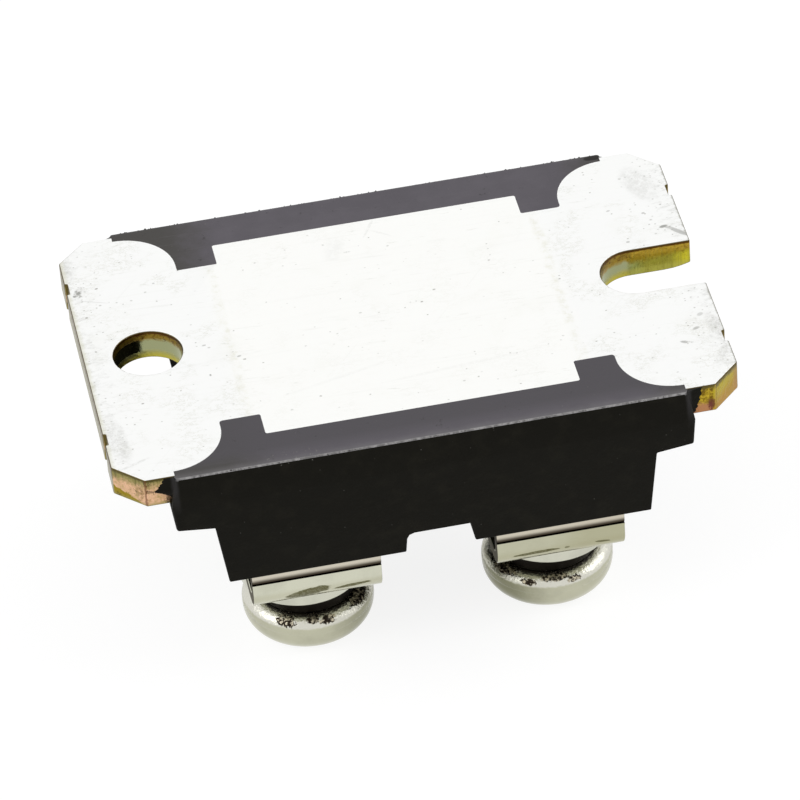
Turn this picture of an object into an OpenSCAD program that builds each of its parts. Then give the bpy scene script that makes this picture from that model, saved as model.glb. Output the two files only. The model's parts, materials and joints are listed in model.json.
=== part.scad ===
/* [Base plate] */
// How far the metal base plate reaches past the body at each end
plate_reach = 3.15; // [2.9:0.05:3.4]
// How far the body's widest level stands outside each side of the plate
side_cover = 0.7; // [0.55:0.05:0.85]
// Thickness of the metal base plate
plate_thickness = 2; // [1.8:0.05:2.2]
// Set-in of the plate's long sides between its end lobes, inside the resin
waist_inset = 0.8; // [0.6:0.05:1.1]
// Resin over the start of each end lobe at the mounting face
lobe_cover = 0.05; // [0.02:0.01:0.1]
// Cut-off at each corner, measured along either edge
corner_cut = 1.75; // [1:0.05:2.4]
// Depth of the coined ledge that the resin fills
ledge_depth = 0.9; // [0.5:0.05:1.1]
// Width of the resin band that lies flush along each long side
band_width = 2.5; // [2.2:0.05:2.8]
// Set-in of the bare metal at the inner end of each lobe
lobe_step = 0.45; // [0.3:0.05:0.7]
// Radius of the concave corner between tooth and lobe
lobe_radius = 3.4; // [3:0.05:3.5]
// Width of each locking tooth of resin
tooth_width = 2.5; // [1.8:0.1:2.6]
// How far a locking tooth reaches in from its band
tooth_reach = 1.9; // [1:0.1:2.4]
// Distance from the plate's ends to the centres of the round hole and the slot's round end
hole_inset = 3.9; // [3.7:0.05:4.1]
// Diameter of the round mounting hole
hole_diameter = 4.2; // [3.8:0.05:4.6]
// Width of the open mounting slot
slot_width = 4.3; // [4.2:0.05:4.6]
// Width of the small notches left by the tie bars
tie_notch_width = 1; // [0.6:0.1:1.4]
// Depth of the small notches left by the tie bars
tie_notch_depth = 0.2; // [0.1:0.05:0.4]
// Distance between the two tie-bar notches of one end
tie_notch_spacing = 15.1; // [14:0.1:16]

/* [Moulded body] */
// Height of the towers above the mounting face
body_height = 9; // [8.7:0.05:9.3]
// Resin between a terminal's edge and the end of its tower at the top
end_wall = 1.35; // [1.2:0.05:1.6]
// Resin left outside a terminal at the tower top
leg_cover = 0.25; // [0.15:0.05:0.4]
// Draw-in of all sides from the widest level down to the mounting face
face_draft = 0.35; // [0.2:0.05:0.45]
// Draw-in of the long sides from the widest level up to the tower tops
side_draft = 0.9; // [0.6:0.05:1]
// Height of the end flanges at their outer edge
flange_height = 3.9; // [3.6:0.05:4.2]
// Rise of the end flanges towards the towers
flange_rise = 0.3; // [0.1:0.05:0.4]
// Width of the end flanges beside the towers
flange_width = 2.3; // [2:0.1:2.6]
// Draw-in of the end flanges at their outer edge
flange_draft = 0.15; // [0.05:0.05:0.3]
// Draw-in of the tower ends from foot to top
tower_draft = 0.6; // [0.3:0.05:0.8]
// Width of the cross groove between the towers at its mouth
groove_width = 4.5; // [4:0.1:5]
// Depth of the cross groove
groove_depth = 1.5; // [1:0.1:2]
// Draw-in of each groove side
groove_draft = 0.3; // [0.1:0.05:0.4]
// Radius of the end recesses that clear the mounting screws
recess_radius = 5; // [4.7:0.05:5.1]

/* [Terminals] */
// Height of the terminal tabs above the mounting face
terminal_height = 12; // [11.8:0.05:12.3]
// Thickness of the terminal strip
strip_thickness = 0.8; // [0.7:0.05:0.9]
// Width of the terminal strip
strip_width = 7.9; // [7.4:0.05:8.2]
// Terminal spacing along the package
pitch_length = 15; // [14.8:0.05:15.3]
// Terminal spacing across the package
pitch_width = 12.7; // [12.5:0.05:12.9]
// Distance from a terminal's outer face to its screw
screw_inset = 5.2; // [5.1:0.05:5.4]
// Gap between the tabs of facing terminals
tab_gap = 4; // [3.4:0.1:4.4]
// Inner radius of the folds
fold_radius = 0.5; // [0.3:0.05:0.7]
// Radius of the score line across the leg
score_radius = 0.15; // [0.08:0.01:0.2]
// Distance of the score line from the tab face
score_drop = 2.15; // [2:0.05:2.4]
// Rounding of the free corners of a tab
tab_corner = 0.8; // [0.4:0.1:1.2]
// Width of the oval screw hole in a tab
tab_hole_width = 4.3; // [4.2:0.05:4.6]
// Length of the oval screw hole in a tab
tab_hole_length = 4.8; // [4.7:0.05:5]
// Width of the tongue that carries the foot
foot_width = 4.6; // [4:0.1:5]
// Height at which the leg narrows to the tongue
tongue_height = 5; // [4.8:0.1:5.4]

/* [Screws, washers and nuts] */
// Diameter of the screw shank over its thread
screw_diameter = 4; // [3.9:0.05:4.1]
// Screw length under the head
screw_length = 8; // [7.6:0.1:8.2]
// Diameter of the screw head
head_diameter = 8.1; // [7.8:0.1:8.4]
// Height of the screw head
head_height = 2.9; // [2.8:0.05:3.2]
// Height of the slight dome on the head
dome_height = 0.1; // [0.05:0.05:0.15]
// Rounding of the head's outer edge
head_edge = 1.65; // [1.3:0.05:1.7]
// Rounding of the head's bearing edge
bearing_edge = 0.8; // [0.5:0.05:0.85]
// Width across the cross recess
cross_span = 4.4; // [4:0.1:4.6]
// Depth of the cross recess
cross_depth = 2; // [1.6:0.1:2.3]
// Width of one wing of the cross recess
wing_width = 1; // [0.8:0.05:1.2]
// Diameter of the flat washer
washer_diameter = 7.7; // [7.4:0.05:8.2]
// Thickness of the flat washer
washer_thickness = 1.25; // [1:0.05:1.4]
// How far each flat washer has slipped outwards from the axis of its screw
washer_slip = 0.25; // [0.05:0.05:0.35]
// Gap between screw and flat washer on the side where they come closest
slip_clearance = 0.05; // [0.02:0.01:0.1]
// Diameter of the split spring washer
spring_diameter = 6.3; // [6:0.1:6.7]
// Thickness of the split spring washer, pressed flat
spring_thickness = 1.2; // [1:0.05:1.3]
// Width of the split in the spring washer
split_width = 0.5; // [0.3:0.05:0.8]
// Clearance between the screw and the spring washer around it
spring_clearance = 0.15; // [0.1:0.05:0.25]
// Nut width across its flats
nut_flats = 6.8; // [6.6:0.05:7]
// Nut height
nut_height = 3.2; // [3:0.05:3.3]
// Clearance between the screw and the nut's bore
thread_clearance = 0.05; // [0.02:0.01:0.1]
// Clearance between the nut and the walls of its pocket
pocket_clearance = 0.15; // [0.1:0.05:0.25]
// Clearance under the nut
pocket_float = 0.1; // [0.05:0.05:0.2]
// Clearance around and beyond the screw's tip in the body
tip_clearance = 0.35; // [0.2:0.05:0.45]

/* [Inside] */
// Resin between the insulator and the end recesses
recess_wall = 0.7; // [0.5:0.05:0.9]
// Thickness of the ceramic insulator
ceramic_thickness = 0.63; // [0.5:0.01:0.7]
// Thickness of the copper on both sides of the ceramic
copper_thickness = 0.3; // [0.2:0.05:0.35]
// Bare ceramic left around the copper
ceramic_margin = 0.5; // [0.3:0.05:0.7]
// Bare ceramic left between the tracks
track_gap = 0.8; // [0.6:0.05:1]
// Thickness of each solder layer
solder_thickness = 0.1; // [0.05:0.01:0.12]
// Side of a diode chip
chip_size = 6.4; // [6:0.1:6.6]
// Thickness of a diode chip
chip_thickness = 0.35; // [0.25:0.05:0.4]
// Bare track left between a chip and the inner edge of its track
chip_margin = 0.4; // [0.3:0.05:0.6]
// Bare track left between a chip and the foot beside it
chip_to_foot = 1.6; // [1.4:0.1:1.8]
// Overlap of a foot on its copper track
foot_overlap = 1.8; // [1.6:0.1:2]
// Thickness of a copper bridge
bridge_thickness = 0.5; // [0.4:0.05:0.55]
// Width of a copper bridge
bridge_width = 4; // [3.6:0.1:4.4]
// Length of the bridge's pads on chip and track
bridge_pad = 2.6; // [2.4:0.1:2.8]
// Rise of the bridge between its pads
bridge_rise = 0.35; // [0.2:0.05:0.4]
// Bare track left between a bridge's landing and the inner edge of its track
bridge_margin = 0.8; // [0.6:0.05:0.9]
// Bare track left between a bridge's landing and the foot beside it
bridge_to_foot = 0.4; // [0.3:0.05:0.6]

/* [Hidden] */
$fn = 48;

// How far a cutting tool runs past the faces it cuts
overrun = 1;

// Levels above the mounting face, with the terminals pointing up
copper_base = plate_thickness + solder_thickness;
ceramic_base = copper_base + copper_thickness;
track_base = ceramic_base + ceramic_thickness;
track_top = track_base + copper_thickness;
foot_base = track_top + solder_thickness;
chip_top = foot_base + chip_thickness;
bridge_base = chip_top + solder_thickness;
tab_under = terminal_height - strip_thickness;
spring_base = terminal_height + washer_thickness;
head_base = spring_base + spring_thickness;
total_height = head_base + head_height;
pocket_floor = tab_under - nut_height - pocket_float;
tip_floor = head_base - screw_length - tip_clearance;

// Lengths along the package, from the terminals outwards
tower_end = (pitch_length + strip_width) / 2 + end_wall;
flange_start = tower_end + tower_draft;
flange_end = flange_start + flange_width;
body_length = 2 * (flange_end + flange_draft);
plate_length = body_length + 2 * plate_reach;
hole_x = plate_length / 2 - hole_inset;
waist_length = body_length - 2 * (face_draft + lobe_cover);
land_length = waist_length - 2 * (lobe_radius + tooth_width);

// Widths across the package, from the terminals outwards
leg_outer = pitch_width / 2 + screw_inset;
top_width = 2 * (leg_outer + leg_cover);
body_width = top_width + 2 * side_draft;
plate_width = body_width - 2 * side_cover;
waist_width = plate_width - 2 * waist_inset;
lobe_width = plate_width - 2 * lobe_step;
land_width = plate_width - 2 * band_width;

// Tracks and insulator
cathode_track = chip_margin + chip_size + chip_to_foot + foot_overlap;
anode_track = bridge_margin + bridge_pad + bridge_to_foot + foot_overlap;
copper_width = cathode_track + track_gap + anode_track;
ceramic_width = copper_width + 2 * ceramic_margin;
ceramic_length = 2 * (hole_x - recess_radius - recess_wall);
copper_length = ceramic_length - 2 * ceramic_margin;
track_width = (copper_length - track_gap) / 2;
track_x = (track_gap + track_width) / 2;
cathode_edge = copper_width / 2 - cathode_track;
chip_y = cathode_edge + chip_margin + chip_size / 2;
landing_y = cathode_edge - track_gap - bridge_margin;

// Terminal outline
fold_outer = fold_radius + strip_thickness;
foot_inner = copper_width / 2 - foot_overlap;
tongue_shift = (strip_width - foot_width) / 2;

// Side of each terminal along and across the package
CORNERS = [[-1, 1], [1, 1], [1, -1], [-1, -1]];

// The package lies upside down, on its screw heads
module lying() {
  translate([0, 0, total_height]) rotate([180, 0, 0]) children();
}

module at_terminal(i) {
  translate([CORNERS[i][0] * pitch_length / 2, CORNERS[i][1] * pitch_width / 2, 0]) children();
}

// Turns what is drawn on the +Y side to the side of terminal i
module on_side(i) {
  translate([CORNERS[i][0] * pitch_length / 2, 0, 0])
    rotate([0, 0, CORNERS[i][1] > 0 ? 0 : 180]) children();
}

// Direction of the package's middle in the frame of on_side
function inward(i) = -CORNERS[i][0] * CORNERS[i][1];

// A plate centred on x and y that stands on the level base
module slab(size, x, y, base) {
  translate([x - size[0] / 2, y - size[1] / 2, base]) cube(size);
}

module plate_rectangle() {
  hl = plate_length / 2;
  hw = plate_width / 2;
  difference() {
    polygon([
      [-hl, corner_cut - hw], [corner_cut - hl, -hw], [hl - corner_cut, -hw], [hl, corner_cut - hw],
      [hl, hw - corner_cut], [hl - corner_cut, hw], [corner_cut - hl, hw], [-hl, hw - corner_cut]
    ]);
    for (sx = [-1, 1], sy = [-1, 1])
      translate([sx * hl, sy * tie_notch_spacing / 2])
        square([2 * tie_notch_depth, tie_notch_width], center = true);
  }
}

// Resin flush with the mounting face on one side: a band, two teeth, two concave corners
module lock_outline() {
  inner = land_width / 2 - tooth_reach;
  corner_y = lobe_width / 2 - lobe_radius;
  difference() {
    translate([-waist_length / 2, inner]) square([waist_length, plate_width / 2 + overrun - inner]);
    translate([-land_length / 2, inner - overrun]) square([land_length, tooth_reach + overrun]);
    for (side = [-1, 1]) {
      translate([side * waist_length / 2, corner_y]) circle(lobe_radius, $fn = 96);
      translate([side * waist_length / 2, inner - overrun + (corner_y - inner + overrun) / 2])
        square([2 * lobe_radius, corner_y - inner + overrun], center = true);
    }
  }
}

module bare_outline() {
  difference() {
    plate_rectangle();
    lock_outline();
    mirror([0, 1]) lock_outline();
  }
}

// Plate under the coined ledge, narrowed between its lobes
module waisted_outline() {
  difference() {
    plate_rectangle();
    for (side = [-1, 1])
      translate([0, side * (waist_width + plate_width) / 2])
        square([waist_length, plate_width], center = true);
  }
}

module plate_blank(below) {
  translate([0, 0, -below]) linear_extrude(plate_thickness + below) bare_outline();
  translate([0, 0, ledge_depth]) linear_extrude(plate_thickness - ledge_depth) waisted_outline();
}

module base_plate() {
  depth = plate_thickness + 2 * overrun;
  color("gainsboro") difference() {
    plate_blank(0);
    translate([-hole_x, 0, -overrun]) cylinder(d = hole_diameter, h = depth);
    translate([hole_x, 0, -overrun]) cylinder(d = slot_width, h = depth);
    translate([hole_x, -slot_width / 2, -overrun]) cube([plate_length / 2, slot_width, depth]);
  }
}

// Right half of the body seen from a long side, mirrored to the left
module long_side_profile() {
  wide = body_length / 2;
  mouth = groove_width / 2;
  half = [
    [wide - face_draft, 0], [wide, plate_thickness], [flange_end, flange_height],
    [flange_start, flange_height + flange_rise], [tower_end, body_height],
    [mouth, body_height], [mouth - groove_draft, body_height - groove_depth]
  ];
  polygon(concat(half, [for (i = [len(half) - 1:-1:0]) [-half[i][0], half[i][1]]]));
}

module short_side_profile() {
  wide = body_width / 2;
  polygon([
    [face_draft - wide, 0], [-wide, plate_thickness], [-top_width / 2, body_height],
    [top_width / 2, body_height], [wide, plate_thickness], [wide - face_draft, 0]
  ]);
}

module body_envelope() {
  intersection() {
    rotate([90, 0, 0]) linear_extrude(2 * body_width, center = true) long_side_profile();
    rotate([90, 0, 90]) linear_extrude(2 * body_length, center = true) short_side_profile();
  }
}

module nut_pocket() {
  translate([0, 0, pocket_floor])
    cylinder(d = (nut_flats + 2 * pocket_clearance) / cos(30), h = nut_height + overrun, $fn = 6);
  translate([0, 0, tip_floor])
    cylinder(d = screw_diameter + 2 * tip_clearance, h = pocket_floor - tip_floor + overrun);
}

module moulded_body() {
  color([0.14, 0.13, 0.13]) difference() {
    body_envelope();
    plate_blank(overrun);
    for (side = [-1, 1])
      translate([side * hole_x, 0, plate_thickness]) cylinder(r = recess_radius, h = body_height, $fn = 96);
    for (i = [0:3]) at_terminal(i) nut_pocket();
    for (i = [0:3]) terminal(i);
    inner_parts();
  }
}

module quarter_disc(radius) {
  intersection() {
    circle(radius);
    square(radius);
  }
}

module quarter_ring(outer, inner) {
  difference() {
    quarter_disc(outer);
    circle(inner);
  }
}

// Path of the strip seen from an end of the package: foot, leg, fold and tab
module strip_profile() {
  fold_y = leg_outer - fold_outer;
  translate([foot_inner, foot_base]) square([fold_y - foot_inner, strip_thickness]);
  translate([fold_y, foot_base + fold_outer]) mirror([0, 1]) quarter_ring(fold_outer, fold_radius);
  translate([leg_outer - strip_thickness, foot_base + fold_outer])
    square([strip_thickness, terminal_height - foot_base - 2 * fold_outer]);
  translate([fold_y, terminal_height - fold_outer]) quarter_ring(fold_outer, fold_radius);
  translate([tab_gap / 2, tab_under]) square([fold_y - tab_gap / 2, strip_thickness]);
}

// Cuts away what lies outside a rounded tab corner
module corner_tool(side) {
  translate([side * (strip_width / 2 - tab_corner), tab_gap / 2 + tab_corner, tab_under - overrun])
    linear_extrude(strip_thickness + 2 * overrun) difference() {
      translate([side > 0 ? 0 : -2 * tab_corner, -2 * tab_corner]) square(2 * tab_corner);
      circle(tab_corner);
    }
}

module oval_hole() {
  reach = (tab_hole_length - tab_hole_width) / 2;
  depth = strip_thickness + 2 * overrun;
  translate([0, pitch_width / 2, tab_under - overrun]) {
    for (side = [-1, 1]) translate([0, side * reach, 0]) cylinder(d = tab_hole_width, h = depth);
    translate([-tab_hole_width / 2, -reach, 0]) cube([tab_hole_width, 2 * reach, depth]);
  }
}

module terminal(i) {
  outward_edge = -inward(i) * (strip_width / 2 - tongue_shift + overrun);
  color("silver") on_side(i) difference() {
    rotate([90, 0, 90]) linear_extrude(strip_width, center = true) strip_profile();
    oval_hole();
    for (side = [-1, 1]) corner_tool(side);
    translate([0, leg_outer, terminal_height - score_drop])
      rotate([0, 90, 0]) cylinder(r = score_radius, h = 2 * strip_width, center = true);
    translate([outward_edge - tongue_shift - overrun, 0, 0])
      cube([2 * (tongue_shift + overrun), body_width, tongue_height]);
  }
}

module nut(i) {
  corner = nut_flats / cos(30) / 2;
  bevel = (corner - nut_flats / 2) / 2;
  color("lightgray") at_terminal(i) translate([0, 0, tab_under - nut_height]) difference() {
    intersection() {
      cylinder(r = corner, h = nut_height, $fn = 6);
      rotate_extrude() polygon([
        [0, 0], [corner - 2 * bevel, 0], [corner, bevel], [corner, nut_height - bevel],
        [corner - 2 * bevel, nut_height], [0, nut_height]
      ]);
    }
    translate([0, 0, -overrun])
      cylinder(d = screw_diameter + 2 * thread_clearance, h = nut_height + 2 * overrun);
  }
}

module flat_washer(i) {
  bore = screw_diameter + 2 * (washer_slip + slip_clearance);
  color("lightgray") at_terminal(i)
    translate([CORNERS[i][0] * washer_slip, 0, terminal_height]) difference() {
      cylinder(d = washer_diameter, h = washer_thickness, $fn = 96);
      translate([0, 0, -overrun]) cylinder(d = bore, h = washer_thickness + 2 * overrun);
    }
}

// The split is cut at a slant, and each washer has stopped at another turn
module spring_washer(i) {
  bore = screw_diameter + 2 * spring_clearance;
  color("dimgray") at_terminal(i) translate([0, 0, spring_base]) difference() {
    cylinder(d = spring_diameter, h = spring_thickness, $fn = 96);
    translate([0, 0, -overrun]) cylinder(d = bore, h = spring_thickness + 2 * overrun);
    rotate([0, 0, 250 + 80 * i]) translate([spring_diameter / 2, 0, spring_thickness / 2])
      rotate([20, 0, 0]) cube([spring_diameter, split_width, 4 * spring_thickness], center = true);
  }
}

// Half outline of the head, from the axis outwards
module head_profile() {
  radius = head_diameter / 2;
  shoulder = head_height - dome_height;
  flat = radius - head_edge;
  dome_radius = (flat * flat + dome_height * dome_height) / (2 * dome_height);
  square([radius - bearing_edge, shoulder - head_edge]);
  translate([0, bearing_edge]) square([radius, shoulder - head_edge - bearing_edge]);
  square([flat, shoulder]);
  translate([radius - bearing_edge, bearing_edge]) mirror([0, 1]) quarter_disc(bearing_edge);
  translate([flat, shoulder - head_edge]) quarter_disc(head_edge);
  intersection() {
    translate([0, head_height - dome_radius]) circle(dome_radius, $fn = 96);
    translate([0, shoulder / 2]) square([flat, head_height]);
  }
}

// Cone with the slope of a driver's tip, cut down to two crossing wings
module cross_recess() {
  slope = 0.75;
  floor = head_height - cross_depth;
  intersection() {
    translate([0, 0, floor])
      cylinder(r1 = cross_span / 2 - slope * cross_depth, r2 = cross_span / 2 + slope * overrun,
        h = cross_depth + overrun);
    for (turn = [0, 90]) rotate([0, 0, turn])
      slab([2 * cross_span, wing_width, cross_depth + 2 * overrun], 0, 0, floor - overrun / 2);
  }
}

// Each screw has stopped at another turn
module screw(i) {
  tip = screw_diameter / 8;
  color("lightgray") at_terminal(i) translate([0, 0, head_base]) rotate([0, 0, 35 + 52 * i]) {
    difference() {
      rotate_extrude($fn = 96) head_profile();
      cross_recess();
    }
    translate([0, 0, tip - screw_length]) cylinder(d = screw_diameter, h = screw_length - tip);
    translate([0, 0, -screw_length])
      cylinder(d1 = screw_diameter - 2 * tip, d2 = screw_diameter, h = tip);
  }
}

module substrate_solder() {
  color("darkgray") slab([copper_length, copper_width, solder_thickness], 0, 0, plate_thickness);
}

module substrate_copper() {
  color("peru") slab([copper_length, copper_width, copper_thickness], 0, 0, copper_base);
}

module ceramic() {
  color("white") slab([ceramic_length, ceramic_width, ceramic_thickness], 0, 0, ceramic_base);
}

// The two tracks on the +Y side carry the chips
module track(i) {
  length = CORNERS[i][1] > 0 ? cathode_track : anode_track;
  y = CORNERS[i][1] * (copper_width - length) / 2;
  color("peru")
    slab([track_width, length, copper_thickness], CORNERS[i][0] * track_x, y, track_base);
}

module foot_solder(i) {
  color("darkgray") on_side(i)
    slab([foot_width, foot_overlap, solder_thickness], inward(i) * tongue_shift,
      foot_inner + foot_overlap / 2, track_top);
}

module chip_solder(i) {
  color("darkgray")
    slab([chip_size, chip_size, solder_thickness], CORNERS[i][0] * track_x, chip_y, track_top);
}

module chip(i) {
  color("slategray")
    slab([chip_size, chip_size, chip_thickness], CORNERS[i][0] * track_x, chip_y, foot_base);
}

module chip_top_solder(i) {
  color("darkgray")
    slab([bridge_width, bridge_pad, solder_thickness], CORNERS[i][0] * track_x, chip_y, chip_top);
}

module track_solder(i) {
  color("darkgray")
    slab([bridge_width, bridge_pad, solder_thickness], CORNERS[i][0] * track_x,
      landing_y - bridge_pad / 2, track_top);
}

// Copper strip from the top of a chip, over the gap, down to the facing track
module bridge(i) {
  pad_start = chip_y + bridge_pad / 2;
  pad_end = chip_y - bridge_pad / 2;
  ramp = bridge_thickness + bridge_rise;
  under = [
    [pad_start, bridge_base], [pad_end, bridge_base], [pad_end - ramp, bridge_base + bridge_rise],
    [landing_y + 2 * ramp, bridge_base + bridge_rise], [landing_y, foot_base],
    [landing_y - bridge_pad, foot_base]
  ];
  over = [for (k = [len(under) - 1:-1:0]) [under[k][0], under[k][1] + bridge_thickness]];
  color("peru") translate([CORNERS[i][0] * track_x, 0, 0]) rotate([90, 0, 90])
    linear_extrude(bridge_width, center = true) polygon(concat(under, over));
}

module inner_parts() {
  substrate_solder();
  substrate_copper();
  ceramic();
  for (i = [0:3]) {
    track(i);
    foot_solder(i);
  }
  for (i = [0:1]) {
    chip_solder(i);
    chip(i);
    chip_top_solder(i);
    bridge(i);
    track_solder(i);
  }
}

lying() base_plate();
lying() moulded_body();
for (i = [0:3]) {
  lying() terminal(i);
  lying() nut(i);
  lying() flat_washer(i);
  lying() spring_washer(i);
  lying() screw(i);
  lying() track(i);
  lying() foot_solder(i);
}
lying() substrate_solder();
lying() substrate_copper();
lying() ceramic();
for (i = [0:1]) {
  lying() chip_solder(i);
  lying() chip(i);
  lying() chip_top_solder(i);
  lying() bridge(i);
  lying() track_solder(i);
}
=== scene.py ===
import json
import math
import random
from functools import reduce

import bmesh
import bpy
from mathutils import Matrix, Quaternion, Vector


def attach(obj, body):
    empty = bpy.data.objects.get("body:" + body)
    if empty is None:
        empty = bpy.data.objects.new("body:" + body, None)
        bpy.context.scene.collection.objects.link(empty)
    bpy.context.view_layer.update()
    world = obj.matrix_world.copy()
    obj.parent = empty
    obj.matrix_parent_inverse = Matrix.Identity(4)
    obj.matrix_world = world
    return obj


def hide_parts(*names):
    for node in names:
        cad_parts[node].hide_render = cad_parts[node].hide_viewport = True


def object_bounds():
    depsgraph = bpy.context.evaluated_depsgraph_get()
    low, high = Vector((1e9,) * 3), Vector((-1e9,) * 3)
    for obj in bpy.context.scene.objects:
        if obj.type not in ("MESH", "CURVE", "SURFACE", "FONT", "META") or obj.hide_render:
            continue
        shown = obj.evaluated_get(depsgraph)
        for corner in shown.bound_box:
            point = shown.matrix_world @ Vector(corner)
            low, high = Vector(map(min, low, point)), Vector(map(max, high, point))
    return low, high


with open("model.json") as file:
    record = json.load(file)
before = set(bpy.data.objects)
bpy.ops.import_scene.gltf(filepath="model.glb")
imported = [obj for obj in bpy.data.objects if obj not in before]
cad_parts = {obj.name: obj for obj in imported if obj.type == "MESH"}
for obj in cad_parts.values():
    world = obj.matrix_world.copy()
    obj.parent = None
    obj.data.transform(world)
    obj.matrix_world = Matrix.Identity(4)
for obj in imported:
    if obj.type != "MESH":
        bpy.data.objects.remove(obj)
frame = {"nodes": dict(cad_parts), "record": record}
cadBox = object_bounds()
print("frame loaded with", len(frame["nodes"]), "solids")

scene = bpy.context.scene
scene.view_settings.view_transform = "Standard"
mm = 0.001
faceHeight = cadBox[1].z / mm  # the mounting face, above the floor
plateThickness = 2.0
plateEnd = 19.0  # from the plate's middle to each end
terminalSpots = {1: (-7.5, -6.35), 2: (7.5, -6.35), 3: (7.5, 6.35), 4: (-7.5, 6.35)}


# ---- maths on sockets, for shader trees and geometry trees alike
def plug(tree, value, socket):
    if isinstance(value, Link):
        tree.links.new(value.socket, socket)
    else:
        socket.default_value = value


def bothWays(operation):  # the operator with the link on its left, and on its right
    return (lambda self, other: self.work(operation, other),
            lambda self, other: self.work(operation, other, True))


class Link:
    __add__, __radd__ = bothWays("ADD")
    __sub__, __rsub__ = bothWays("SUBTRACT")
    __mul__, __rmul__ = bothWays("MULTIPLY")
    __truediv__, __rtruediv__ = bothWays("DIVIDE")
    __pow__ = bothWays("POWER")[0]

    def __init__(self, tree, socket):
        self.tree = tree
        self.socket = socket

    def work(self, operation, other=None, flipped=False):
        maths = self.tree.nodes.new("ShaderNodeMath")
        maths.operation = operation
        first, second = (other, self) if flipped else (self, other)
        plug(self.tree, first, maths.inputs[0])
        if second is not None:
            plug(self.tree, second, maths.inputs[1])
        return Link(self.tree, maths.outputs[0])

    def __abs__(self):
        return self.work("ABSOLUTE")

    def also(self, output):  # another output of the same node
        return Link(self.tree, self.socket.node.outputs[output])


class Recipe:
    def __init__(self, tree):
        self.tree = tree

    def add(self, kind, settings=None, inputs=None, output=0):
        made = self.tree.nodes.new(kind)
        for key, value in (settings or {}).items():
            setattr(made, key, value)
        for key, value in (inputs or {}).items():
            plug(self.tree, value, made.inputs[key])
        return Link(self.tree, made.outputs[output])

    def least(self, a, b):
        return self.add("ShaderNodeMath", {"operation": "MINIMUM"}, {0: a, 1: b})

    def most(self, a, b):
        return self.add("ShaderNodeMath", {"operation": "MAXIMUM"}, {0: a, 1: b})

    def clamped(self, value):
        return self.least(self.most(value, 0.0), 1.0)

    def step(self, value, low, high):  # 0 below low, 1 above high, smooth between
        return self.add("ShaderNodeMapRange", {"interpolation_type": "SMOOTHSTEP"},
                        {"Value": value, "From Min": low, "From Max": high})

    def within(self, value, low, high, soft):
        return self.step(value, low - soft, low) * (1 - self.step(value, high, high + soft))

    def blot(self, along, across, ragged, low, high):  # 1 inside an oval with a ragged border
        return 1 - self.step(along * along + across * across + ragged, low, high)

    def vector(self, x, y, z):
        return self.add("ShaderNodeCombineXYZ", None, {"X": x, "Y": y, "Z": z})

    def stretch(self, vector, factors):
        return self.add("ShaderNodeVectorMath", {"operation": "MULTIPLY"}, {0: vector, 1: factors})


class Finish(Recipe):  # one material, with the object's own coordinates in millimetres
    def __init__(self, name, look=None):
        self.look = look
        self.material = bpy.data.materials.new(name)
        self.material.use_nodes = True
        super().__init__(self.material.node_tree)
        self.shader = self.tree.nodes["Principled BSDF"]
        coordinates = self.add("ShaderNodeTexCoord", None, None, "Object")
        self.spot = self.add("ShaderNodeVectorMath", {"operation": "SCALE"},
                             {0: coordinates, "Scale": 1 / mm})
        parts = self.add("ShaderNodeSeparateXYZ", None, {0: self.spot})
        self.x, self.y, self.z = parts, parts.also("Y"), parts.also("Z")
        facing = self.add("ShaderNodeSeparateXYZ", None, {0: coordinates.also("Normal")})
        self.facingX, self.facingZ = facing, facing.also("Z")

    def colour(self, value):  # a name from the look, a tuple or a link
        if isinstance(value, Link):
            return value
        return (*self.look[value], 1.0) if isinstance(value, str) else (*value, 1.0)

    def mix(self, share, first, second):
        return self.add("ShaderNodeMix", {"data_type": "RGBA"},
                        {0: share, 6: self.colour(first), 7: self.colour(second)}, 2)

    def coats(self, base, *layers):  # a share and a colour each, laid one over the other
        for share, colour in layers:
            base = self.mix(share, base, colour)
        return base

    def field(self, factors, scale, detail, rough, seed, turn=0.0):  # a noise, stretched and turned
        vector = self.spot
        if turn:
            vector = self.add("ShaderNodeMapping", None, {"Vector": vector, "Rotation": (0.0, 0.0, turn)})
        if factors:
            vector = self.stretch(vector, factors)
        return self.add("ShaderNodeTexNoise", {"noise_dimensions": "4D"},
                        {"Vector": vector, "W": seed, "Scale": scale, "Detail": detail, "Roughness": rough})

    def fields(self, table):
        return {name: self.field(*numbers) for name, numbers in table.items()}

    def dress(self, **values):
        for key, value in values.items():
            value = (*value, 1.0) if isinstance(value, tuple) else value
            plug(self.tree, value, self.shader.inputs[key.replace("_", " ")])
        return self.material

    def relief(self, height, depth):  # depth in millimetres
        return self.add("ShaderNodeBump", None, {"Height": height, "Distance": depth * mm, "Strength": 1.0})


# ---- camera, set where the photograph was taken from
photoView = {"azimuth": 8.43, "elevation": 38.655, "roll": -4.327, "lens": 280.66,
             "place": (-43.449, -295.647, 249.444), "shift": (-0.00685, 0.00035)}


def makeCamera(facts):
    azimuth, elevation = math.radians(facts["azimuth"]), math.radians(facts["elevation"])
    look = Vector((math.sin(azimuth) * math.cos(elevation), math.cos(azimuth) * math.cos(elevation),
                   -math.sin(elevation)))
    roll = Quaternion((0, 0, 1), math.radians(facts["roll"]))
    camera = bpy.data.objects.new("camera", bpy.data.cameras.new("camera"))
    scene.collection.objects.link(camera)
    camera.rotation_mode = "QUATERNION"
    camera.rotation_quaternion = look.to_track_quat("-Z", "Y") @ roll
    camera.location = Vector(facts["place"]) * mm
    camera.data.lens = facts["lens"]
    camera.data.sensor_width = 36.0
    camera.data.shift_x, camera.data.shift_y = facts["shift"]
    camera.data.clip_start, camera.data.clip_end = 0.01, 20.0
    scene.camera = camera


makeCamera(photoView)

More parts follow.
